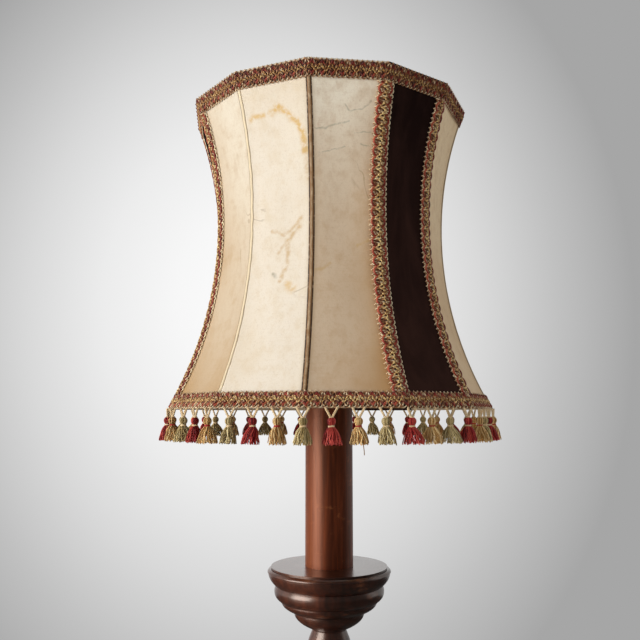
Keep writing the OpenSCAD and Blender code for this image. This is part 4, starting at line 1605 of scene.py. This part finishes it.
def rib_line(shape: ShadeShape, corner: int, low_up: float, high_up: float, out: float,
             step: float = 0.8 * MM) -> Line:
    """An open line up a corner of the shade.

    Args:
        shape: The shade.
        corner: The corner's number.
        low_up: Where it starts, above the lower edge.
        high_up: Where it ends.
        out: How far outside the parchment.
        step: Distance between points.

    Returns:
        The line.
    """
    azimuth = shape.corner(corner)
    count = round((shape.arc(high_up) - shape.arc(low_up)) / step)
    points, across, outs = [], [], []
    for i in range(count + 1):
        up = shape.up_at(shape.arc(low_up) + (shape.arc(high_up) - shape.arc(low_up)) * i / count)
        away = shape.flat_at(up, out) / math.cos(shape.half)
        points.append(Vector((math.cos(azimuth) * away, math.sin(azimuth) * away, shape.low_z + up)))
        outs.append(shape.facing(azimuth, up))
        across.append(Vector((-math.sin(azimuth), math.cos(azimuth), 0)))
    return Line(points, across, outs, closed=False)


# ------------------------------------------------------------------ tassels


class TasselColour(Enum):
    """The three colours of tassel, in the order that they hang in."""

    RED = 0
    GOLD = 1
    SAGE = 2


@dataclass
class TasselRow:
    """The fifteen tassels of one colour."""

    shape: ShadeShape
    colour: TasselColour
    count: int = 45
    first: float = math.radians(-89.3)
    radius: float = 0.0
    skirt_radius: float = 12.2 * MM
    top_drop: float = 9.9 * MM
    length: float = 31.1 * MM
    threads: int = 76
    thread_radius: float = 0.62 * MM
    hanger_drop: float = 11 * MM
    hanger_span: float = 14 * MM

    TIES = {
        TasselColour.RED: "hanger_silk",
        TasselColour.GOLD: "red_silk",
        TasselColour.SAGE: "hanger_silk",
    }
    NECK = 0.345  # how far down its length a tassel is tied, as a share

    @property
    def name(self) -> str:
        """The colour's word."""
        return self.colour.name.lower()

    def build(self, tree: bpy.types.NodeTree, workshop: Workshop) -> bpy.types.Object:
        """Makes the row and hangs it under the shade.

        Args:
            tree: The tree that makes the threads.
            workshop: Where the silks come from.

        Returns:
            The row.
        """
        silk = workshop.material(self.name + "_silk")
        fittings = self._fittings(workshop)
        maker = self._roots()
        run_tree(
            maker, tree, Threads=self.threads, Drop=self.top_drop, Length=self.length,
            Skirt_Radius=self.skirt_radius, Thread_Radius=self.thread_radius,
            Seed=7 + self.colour.value, Silk=silk, Fittings=fittings,
        )
        row = bake(maker, self.name + "_tassels_spun")
        bpy.data.objects.remove(fittings)
        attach(row, SHADE_BODY)
        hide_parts(self.name + "_tassels")
        self.name + "_silk"
        log.info("%s: %d triangles", row.name, count_triangles(row))
        return row

    def _roots(self) -> bpy.types.Object:
        """Makes a point on the braid's foot for each tassel.

        Returns:
            The points, which carry the way that the braid faces there.
        """
        places, facings = [], []
        step, flat = TAU / self.count, 2 * self.shape.half
        for i in range(self.colour.value, self.count, len(TasselColour)):
            azimuth = self.first + step * i
            turn = azimuth - self.shape.first_corner
            off = turn - flat * math.floor(turn / flat) - self.shape.half
            away = self.radius / math.cos(off)
            places.append((math.cos(azimuth) * away, math.sin(azimuth) * away, self.shape.low_z))
            facings.append(azimuth - off)
        mesh = bpy.data.meshes.new(self.name + "_roots")
        mesh.from_pydata(places, [], [])
        add_numbers(mesh, "facing", facings)
        return place_object(self.name + "_roots", mesh)

    def _fittings(self, workshop: Workshop) -> bpy.types.Object:
        """Makes the hanger's two twisted cords, its knot and the tie round the neck, facing +X.

        Args:
            workshop: Where the cords' materials come from.

        Returns:
            The fittings of one tassel.
        """
        points: list[Vector] = []
        faces: list[tuple[int, ...]] = []
        owners: list[int] = []

        def lay(path: Sequence[Vector], radius: float, owner: int) -> None:
            """Adds one cord.

            Args:
                path: The cord's middle line.
                radius: Its radius.
                owner: The number of its material.
            """
            new, joined = sweep(path, radius, 5, len(points))
            points.extend(new)
            faces.extend(joined)
            owners.extend([owner] * len(joined))

        for side in (-1, 1):
            top = Vector((0, side * self.hanger_span / 2, 0.6 * MM))
            foot = Vector((0, side * 0.6 * MM, -self.hanger_drop))
            for ply in range(2):
                lay(self._twisted(top, foot, 0.72 * MM, 2.6, ply * math.pi), 0.85 * MM, 0)
        lay(coil(2.2 * MM, 1.1 * MM, 2.4, -self.hanger_drop + 0.9 * MM, 12), 0.75 * MM, 0)
        neck_z = -self.top_drop - self.length * self.NECK
        lay(coil(3.35 * MM, 1.9 * MM, 3.2, neck_z + 0.95 * MM, 16), 0.52 * MM, 1)
        mesh = make_mesh(self.name + "_fittings", points, faces)
        add_numbers(mesh, "shade", [0.55] * len(points))
        silks = [workshop.material(name) for name in ("hanger_silk", self.TIES[self.colour])]
        thing = place_object(self.name + "_fittings", mesh, *silks)
        mesh.polygons.foreach_set("material_index", owners)
        return thing

    @staticmethod
    def _twisted(top: Vector, foot: Vector, radius: float, turns: float, phase: float
                 ) -> list[Vector]:
        """Winds one ply of a twisted cord.

        Args:
            top: Where the cord starts.
            foot: Where it ends.
            radius: How far the ply's middle is from the cord's.
            turns: How often it winds round.
            phase: The angle that it starts at.

        Returns:
            The ply's middle line.
        """
        front = Vector((1, 0, 0))
        side = (foot - top).normalized().cross(front).normalized()
        steps = 20
        path = []
        for i in range(steps + 1):
            angle = phase + TAU * turns * i / steps
            away = side * math.cos(angle) + front * math.sin(angle)
            path.append(top.lerp(foot, i / steps) + away * radius)
        return path


def coil(radius: float, height: float, turns: float, top_z: float, steps: int) -> list[Vector]:
    """A coil round the Z axis, wound downwards.

    Args:
        radius: The coil's radius.
        height: How far it winds down.
        turns: How many turns it has.
        top_z: Where it starts.
        steps: How many points a turn has.

    Returns:
        The coil's points.
    """
    count = round(turns * steps)
    points = []
    for i in range(count + 1):
        angle = TAU * turns * i / count
        away = Vector((radius * math.cos(angle), radius * math.sin(angle), 0))
        points.append(away + Vector((0, 0, top_z - height * i / count)))
    return points


GOLDEN_ANGLE = 2.39996  # spreads the threads evenly round a tassel
STRAY_SHARE = 0.0005  # the share of threads that hang loose below the rest
THREAD_POINTS = 18
TASSEL_OUTLINE = (  # a thread's distance from the middle, as a share of the skirt's radius
    (0.0, 0.06), (0.05, 0.26), (0.14, 0.38), (0.23, 0.34), (0.31, 0.23), (0.36, 0.26),
    (0.45, 0.46), (0.66, 0.76), (1.0, 1.02),
)
THREAD_BLOCK = 512  # numbers set aside for one tassel's threads
ROW_BLOCK = 9973  # and for one row's
TASSEL_BLOCK = 131  # numbers set aside for one row's tassels


def tassel_tree() -> bpy.types.NodeTree:
    """The tree that spins a tassel of threads under each point: over a knob, tied, then flared.

    Returns:
        The tree.
    """
    graph = GeometryGraph(
        "Spun Tassels", Threads=int, Drop=float, Length=float, Skirt_Radius=float, Thread_Radius=float,
        Seed=int, Silk=bpy.types.Material, Fittings=bpy.types.Object,
    )
    given = graph.given
    where = graph.add("GeometryNodeInputPosition")
    roots = graph.store(given("Geometry"), "root", where, "FLOAT_VECTOR")
    roots = graph.store(roots, "tassel", graph.add("GeometryNodeInputIndex"), "INT")
    inputs = {"Geometry": roots, "Amount": given("Threads")}
    copies = graph.add("GeometryNodeDuplicateElements", {"domain": "POINT"}, inputs, "Geometry")
    number = Wire(graph, copies.socket.node.outputs["Duplicate Index"])
    copies = graph.store(copies, "thread", number, "INT")
    straight = graph.add("GeometryNodeCurvePrimitiveLine", {}, {}, "Curve")
    inputs = {"Curve": straight, "Count": THREAD_POINTS}
    straight = graph.add("GeometryNodeResampleCurve", {}, inputs, "Curve")
    inputs = {"Points": copies, "Instance": straight}
    threads = graph.add("GeometryNodeInstanceOnPoints", {}, inputs, "Instances")
    threads = graph.add("GeometryNodeRealizeInstances", {}, {"Geometry": threads}, "Geometry")

    tassel, thread = graph.field("tassel", "INT"), graph.field("thread", "INT")
    one = tassel * THREAD_BLOCK + thread + given("Seed") * ROW_BLOCK
    whole = tassel + given("Seed") * TASSEL_BLOCK
    share = graph.add("GeometryNodeSplineParameter", {}, {}, "Factor")
    loose = share.between(0.36, 0.75)
    profile = graph.add("ShaderNodeFloatCurve", {"curve": TASSEL_OUTLINE}, {"Value": share})
    reach = 1 - (graph.chance(0.0, 1.0, one, 1) ** 2.6) * 0.62
    flare = 1 + loose * (graph.chance(-0.16, 0.10, whole, 2) + graph.chance(-0.10, 0.06, one, 3))
    away = given("Skirt Radius") * profile * reach * flare
    swirl = loose * (graph.chance(-0.22, 0.22, one, 4) + graph.chance(-0.3, 0.3, whole, 5))
    wave = loose * 0.10 * (share * 13 + graph.chance(0.0, TAU, one, 6)).call("SINE")
    angle = thread * GOLDEN_ANGLE + graph.chance(0.0, TAU, whole, 7) + swirl + wave
    stray = graph.chance(0.0, 1.0, one, 8).call("LESS_THAN", STRAY_SHARE)
    longer = 1 + loose * graph.chance(-0.07, 0.03, one, 9) + loose * stray * 0.35
    fall = given("Length") * share * longer
    tilt_x = fall * loose * graph.chance(-0.09, 0.09, whole, 10)
    tilt_y = fall * loose * graph.chance(-0.05, 0.05, whole, 12)
    inputs = {
        "X": away * angle.call("COSINE") + tilt_x, "Y": away * angle.call("SINE") + tilt_y,
        "Z": -1 * (given("Drop") + fall),
    }
    local = graph.add("ShaderNodeCombineXYZ", {}, inputs)
    place = graph.vector("ADD", graph.field("root", "FLOAT_VECTOR"), local)
    inputs = {"Geometry": threads, "Position": place}
    threads = graph.add("GeometryNodeSetPosition", {}, inputs, "Geometry")
    threads = graph.store(threads, "shade", graph.chance(0.0, 1.0, one, 13) * 0.95 + share * 0.1)
    spun = graph.cord(threads, given("Thread Radius"), 3, given("Silk"))

    inputs = {"Object": given("Fittings"), "As Instance": True}
    info = graph.add("GeometryNodeObjectInfo", {}, inputs, "Geometry")
    facing = graph.field("facing") + graph.chance(-0.12, 0.12, whole, 14)
    turn = graph.add("ShaderNodeCombineXYZ", {}, {"Z": facing})
    inputs = {"Points": roots, "Instance": info, "Rotation": turn}
    fittings = graph.add("GeometryNodeInstanceOnPoints", {}, inputs, "Instances")
    return graph.end(spun, fittings)


# ------------------------------------------------------------------ sub-assemblies


@dataclass
class Shade:
    """The shade: panels, seams, braids, fringe and its wire frame."""

    shape: ShadeShape
    workshop: Workshop
    braided: tuple[int, ...] = (0, 3, 4, 7, 8, 11)
    pale_finishes: dict[int, str] = field(
        default_factory=lambda: {
            1: "parchment_left",
            2: "parchment_middle",
            3: "parchment_right",
            4: "parchment_slice",
        }
    )
    braid_out: float = 0.2 * MM
    low_border: float = 20 * MM
    high_border: float = 21.5 * MM
    low_braid: float = 22 * MM
    high_braid: float = 22.5 * MM
    rib_braid: float = 24 * MM
    # painted shade darkens the top braid and painted light lightens the rib braids
    high_painted_shade: float = -0.14
    rib_painted_light: float = 0.13
    fringe_out: float = 2.1 * MM

    def build(self) -> None:
        """Builds every piece of the shade."""
        self._panels()
        SeamStrips(self.shape).build(self.workshop)
        self._braids()
        self._fringe()
        for node in ("shade_fitter", "top_ring", "bottom_ring", "shade_ribs"):
            self.workshop.dress(node, "frame_wire")

    def _panels(self) -> None:
        """The nine parchment and three velvet panels."""
        dark = [number for number in range(self.shape.flats) if number % 4 == 3]
        pale = [number for number in range(self.shape.flats) if number % 4 != 3]
        panels = []
        for i, number in enumerate(pale, 1):
            finish = self.pale_finishes.get(i, "parchment")
            panels.append(Panel(self.shape, number, f"parchment_panel_{i}", finish, "parchment"))
        for i, number in enumerate(dark, 1):
            name = f"dark_panel_{i}"
            velvet = Panel(self.shape, number, name, "dark_velvet", "dark_velvet", ripple=0.4 * MM)
            panels.append(velvet)
        for panel in panels:
            panel.build(self.workshop)

    def _braids(self) -> None:
        """The braids along both edges and up six corners."""
        shape, out = self.shape, self.braid_out
        tree = braid_tree(self.workshop)
        low = ring_line(shape, self.low_border / 2, out)
        high = ring_line(shape, shape.height - self.high_border / 2, out)
        braids = [
            Braid("bottom_braid_woven", "bottom_braid", low, self.low_braid),
            Braid("top_braid_woven", "top_braid", high, self.high_braid, tone=self.high_painted_shade),
        ]
        for i, corner in enumerate(self.braided, 1):
            line = rib_line(shape, corner, self.low_border, shape.height - self.high_border, out)
            braids.append(Braid(
                f"rib_braid_{i}", "rib_braids", line, self.rib_braid, fold=math.tan(shape.half),
                tone=self.rib_painted_light,
            ))
        for braid in braids:
            braid.build(tree, self.workshop)

    def _fringe(self) -> None:
        """The three rows of tassels, which hang in turn."""
        tree = tassel_tree()
        radius = self.shape.flat_at(0.0, self.fringe_out)
        for colour in TasselColour:
            TasselRow(self.shape, colour, radius=radius).build(tree, self.workshop)


@dataclass
class Stand:
    """The turned column and base, the lampholder and the bulb, as the frame has them."""

    workshop: Workshop
    finishes: dict[str, tuple[str, ...]] = field(
        default_factory=lambda: {
            "column_wood": (
                "base_plinth", "bun_feet", "column_foot", "column_shaft", "knop_ring",
                "upper_baluster", "drip_cup",
            ),
            "tube_wood": ("candle_tube",),
            "felt": ("felt_pads",),
            "iron": ("ballast_weight",),
            "steel": ("ballast_screws", "cover_screws", "rod_washer", "switch_spindle"),
            "hardboard": ("underside_cover",),
            "black_plastic": (
                "cable_bush", "junction_box", "lower_shade_ring", "upper_shade_ring", "switch_knob",
            ),
            "brass": (
                "rod_nut", "tie_rod", "tube_cap", "lock_nut", "holder_cap", "holder_sleeve",
                "screw_shell", "holder_contacts", "terminal_posts",
            ),
            "lead_sheath": ("inner_lead",),
            "porcelain": ("holder_core",),
            "bulb_glass": ("bulb_glass", "bulb_stem"),
            "cap_metal": ("bulb_cap", "bulb_contact"),
            "cap_insulator": ("bulb_insulator",),
            "filament_wire": ("bulb_filament",),
        }
    )

    def build(self) -> None:
        """Dresses every node that the frame carries as it is."""
        for finish, nodes in self.finishes.items():
            for node in nodes:
                self.workshop.dress(node, finish)


# ------------------------------------------------------------------ studio


@dataclass
class Studio:
    """A plain pale room: floor, wall, soft window light from the left and the camera."""

    lens: float = 41.76
    camera_at: tuple[float, float, float] = (0.0, -1.0676, 1.2399)
    camera_turn: tuple[float, float, float] = (97.31, 0.0, 0.684)
    side: float = 7.0
    wall_y: float = 2.8
    wall_height: float = 4.5
    bright_spot: tuple[float, float, float] = (-0.3965, 2.8, 1.511)
    wall_greys: tuple[int, ...] = (252, 247, 236, 217, 192, 166)
    sky_strength: float = 0.28
    sky_held_back: float = 0.2
    floor_glow: float = 0.6

    def build(self) -> None:
        """Builds the room."""
        self._camera()
        self._world()
        self._room()
        self._lamp("window", (-2.5, -1.45, 1.6), (0, 0, 1.3), 2.2, 87)
        fill = self._lamp("far_fill", (2.2, -1.0, 2.3), (0, 0, 1.5), 1.2, 11)
        fill.visible_glossy = False

    def _camera(self) -> None:
        """The camera at the photograph's place and angle."""
        camera = bpy.data.objects.new("camera", bpy.data.cameras.new("camera"))
        bpy.context.scene.collection.objects.link(camera)
        camera.data.lens = self.lens
        camera.data.sensor_width = 36
        camera.location = self.camera_at
        camera.rotation_euler = [math.radians(a) for a in self.camera_turn]
        bpy.context.scene.camera = camera

    def _world(self) -> None:
        """Even light from all round, and a pale sky where the camera sees past the room."""
        world = bpy.data.worlds.new("pale")
        bpy.context.scene.world = world
        world.use_nodes = True
        graph = Graph(world.node_tree)
        graph.tree.nodes.clear()
        facing = graph.parts(graph.add("ShaderNodeTexCoord", output="Generated"))[1]
        seen = self._seen(graph, facing.between(-0.15, 0.3))
        glossy = graph.add("ShaderNodeLightPath", output="Is Glossy Ray")
        strength = self.sky_strength - glossy * self.sky_held_back
        light = {"Color": (0.97, 0.985, 1.0, 1), "Strength": strength}
        soft = graph.add("ShaderNodeBackground", {}, light)
        light = {"Color": tint(224, 224, 226), "Strength": 1.0}
        pale = graph.add("ShaderNodeBackground", {}, light)
        mixed = graph.add("ShaderNodeMixShader", {}, {0: seen, 1: soft, 2: pale})
        graph.add("ShaderNodeOutputWorld", {}, {"Surface": mixed})

    @staticmethod
    def _seen(graph: Graph, mirrored: Any = 1.0) -> Wire:
        """Tells how much of a surface's own glow a ray sees.

        Args:
            graph: The tree that needs it.
            mirrored: The share for rays from reflections and glass.

        Returns:
            1 for rays that come from the camera, the share for mirrored ones and 0 for the rest.
        """
        glossy, through, camera = (
            graph.add("ShaderNodeLightPath", output=f"Is {kind} Ray")
            for kind in ("Glossy", "Transmission", "Camera")
        )
        return (glossy.call("MAXIMUM", through) * mirrored).call("MAXIMUM", camera)

    def _room(self) -> None:
        """A pale floor and a wall with painted light that darkens away from the window."""
        side, y, top = self.side, self.wall_y, self.wall_height
        floor = [(-side, -side, 0), (side, -side, 0), (side, side, 0), (-side, side, 0)]
        wall = [(-side, y, 0), (side, y, 0), (side, y, top), (-side, y, top)]
        for name, corners, paint in (
            ("floor", floor, self._floor_paint()), ("wall", wall, self._wall_paint()),
        ):
            mesh = make_mesh(name, corners, [(0, 1, 2, 3)], smooth=False)
            place_object(name, mesh, paint)

    def _floor_paint(self) -> bpy.types.Material:
        """Makes the floor's finish: pale to the camera and dark in the wood's reflections.

        Returns:
            The finish.
        """
        paint = Paint("floor_paint")
        speckle = paint.cloud(paint.place((30, 30, 30)), 1.0, 3, 0.5)
        colour = paint.blend(speckle * 0.3, tint(216, 215, 212), tint(206, 205, 202))
        colour = paint.blend(paint.light("Is Glossy Ray"), colour, tint(70, 66, 62))
        paint.finish(Base_Color=colour, Roughness=0.8)
        glow = paint.add("ShaderNodeEmission", {}, {"Color": tint(222, 222, 223), "Strength": 1.0})
        return paint.mix_surface(paint.light("Is Camera Ray") * self.floor_glow, paint.shader, glow)

    def _wall_paint(self) -> bpy.types.Material:
        """Makes the wall's finish: pale grey, with painted light brightest left of the lamp.

        Returns:
            The finish.
        """
        paint = Paint("wall_paint")
        away = paint.vector("DISTANCE", paint.place((1, 1, 0.816)), self.bright_spot)
        last = len(self.wall_greys) - 1
        stops = [(i / last, tint(grey, grey, grey)) for i, grey in enumerate(self.wall_greys)]
        colour = paint.ramp(away / 2, *stops)
        glow = paint.add("ShaderNodeEmission", {}, {"Color": colour, "Strength": 1.0})
        matt = paint.add("ShaderNodeBsdfDiffuse", {}, {"Color": tint(200, 200, 202)})
        return paint.mix_surface(self._seen(paint), matt, glow)

    @staticmethod
    def _lamp(name: str, at: Sequence[float], aim: Sequence[float], size: float, power: float
              ) -> bpy.types.Object:
        """Adds a soft square light.

        Args:
            name: The light's name.
            at: Where it stands.
            aim: What it points at.
            size: The length of its side.
            power: Its power in watts.

        Returns:
            The light.
        """
        data = bpy.data.lights.new(name, "AREA")
        data.shape = "SQUARE"
        data.size = size
        data.energy = power
        lamp = bpy.data.objects.new(name, data)
        bpy.context.scene.collection.objects.link(lamp)
        lamp.location = at
        lamp.rotation_euler = (Vector(aim) - Vector(at)).to_track_quat("-Z", "Y").to_euler()
        return lamp


def main() -> None:
    """Builds the lamp and its room."""
    logging.basicConfig(level=logging.INFO, format="%(name)s: %(message)s")
    bpy.context.scene.view_settings.view_transform = "Standard"
    Studio().build()
    workshop = Workshop()
    low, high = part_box("parchment_panel_1")
    shape = ShadeShape(low_z=low.z, height=high.z - low.z)
    Shade(shape, workshop).build()
    Stand(workshop).build()


if __name__ == "__main__":
    main()
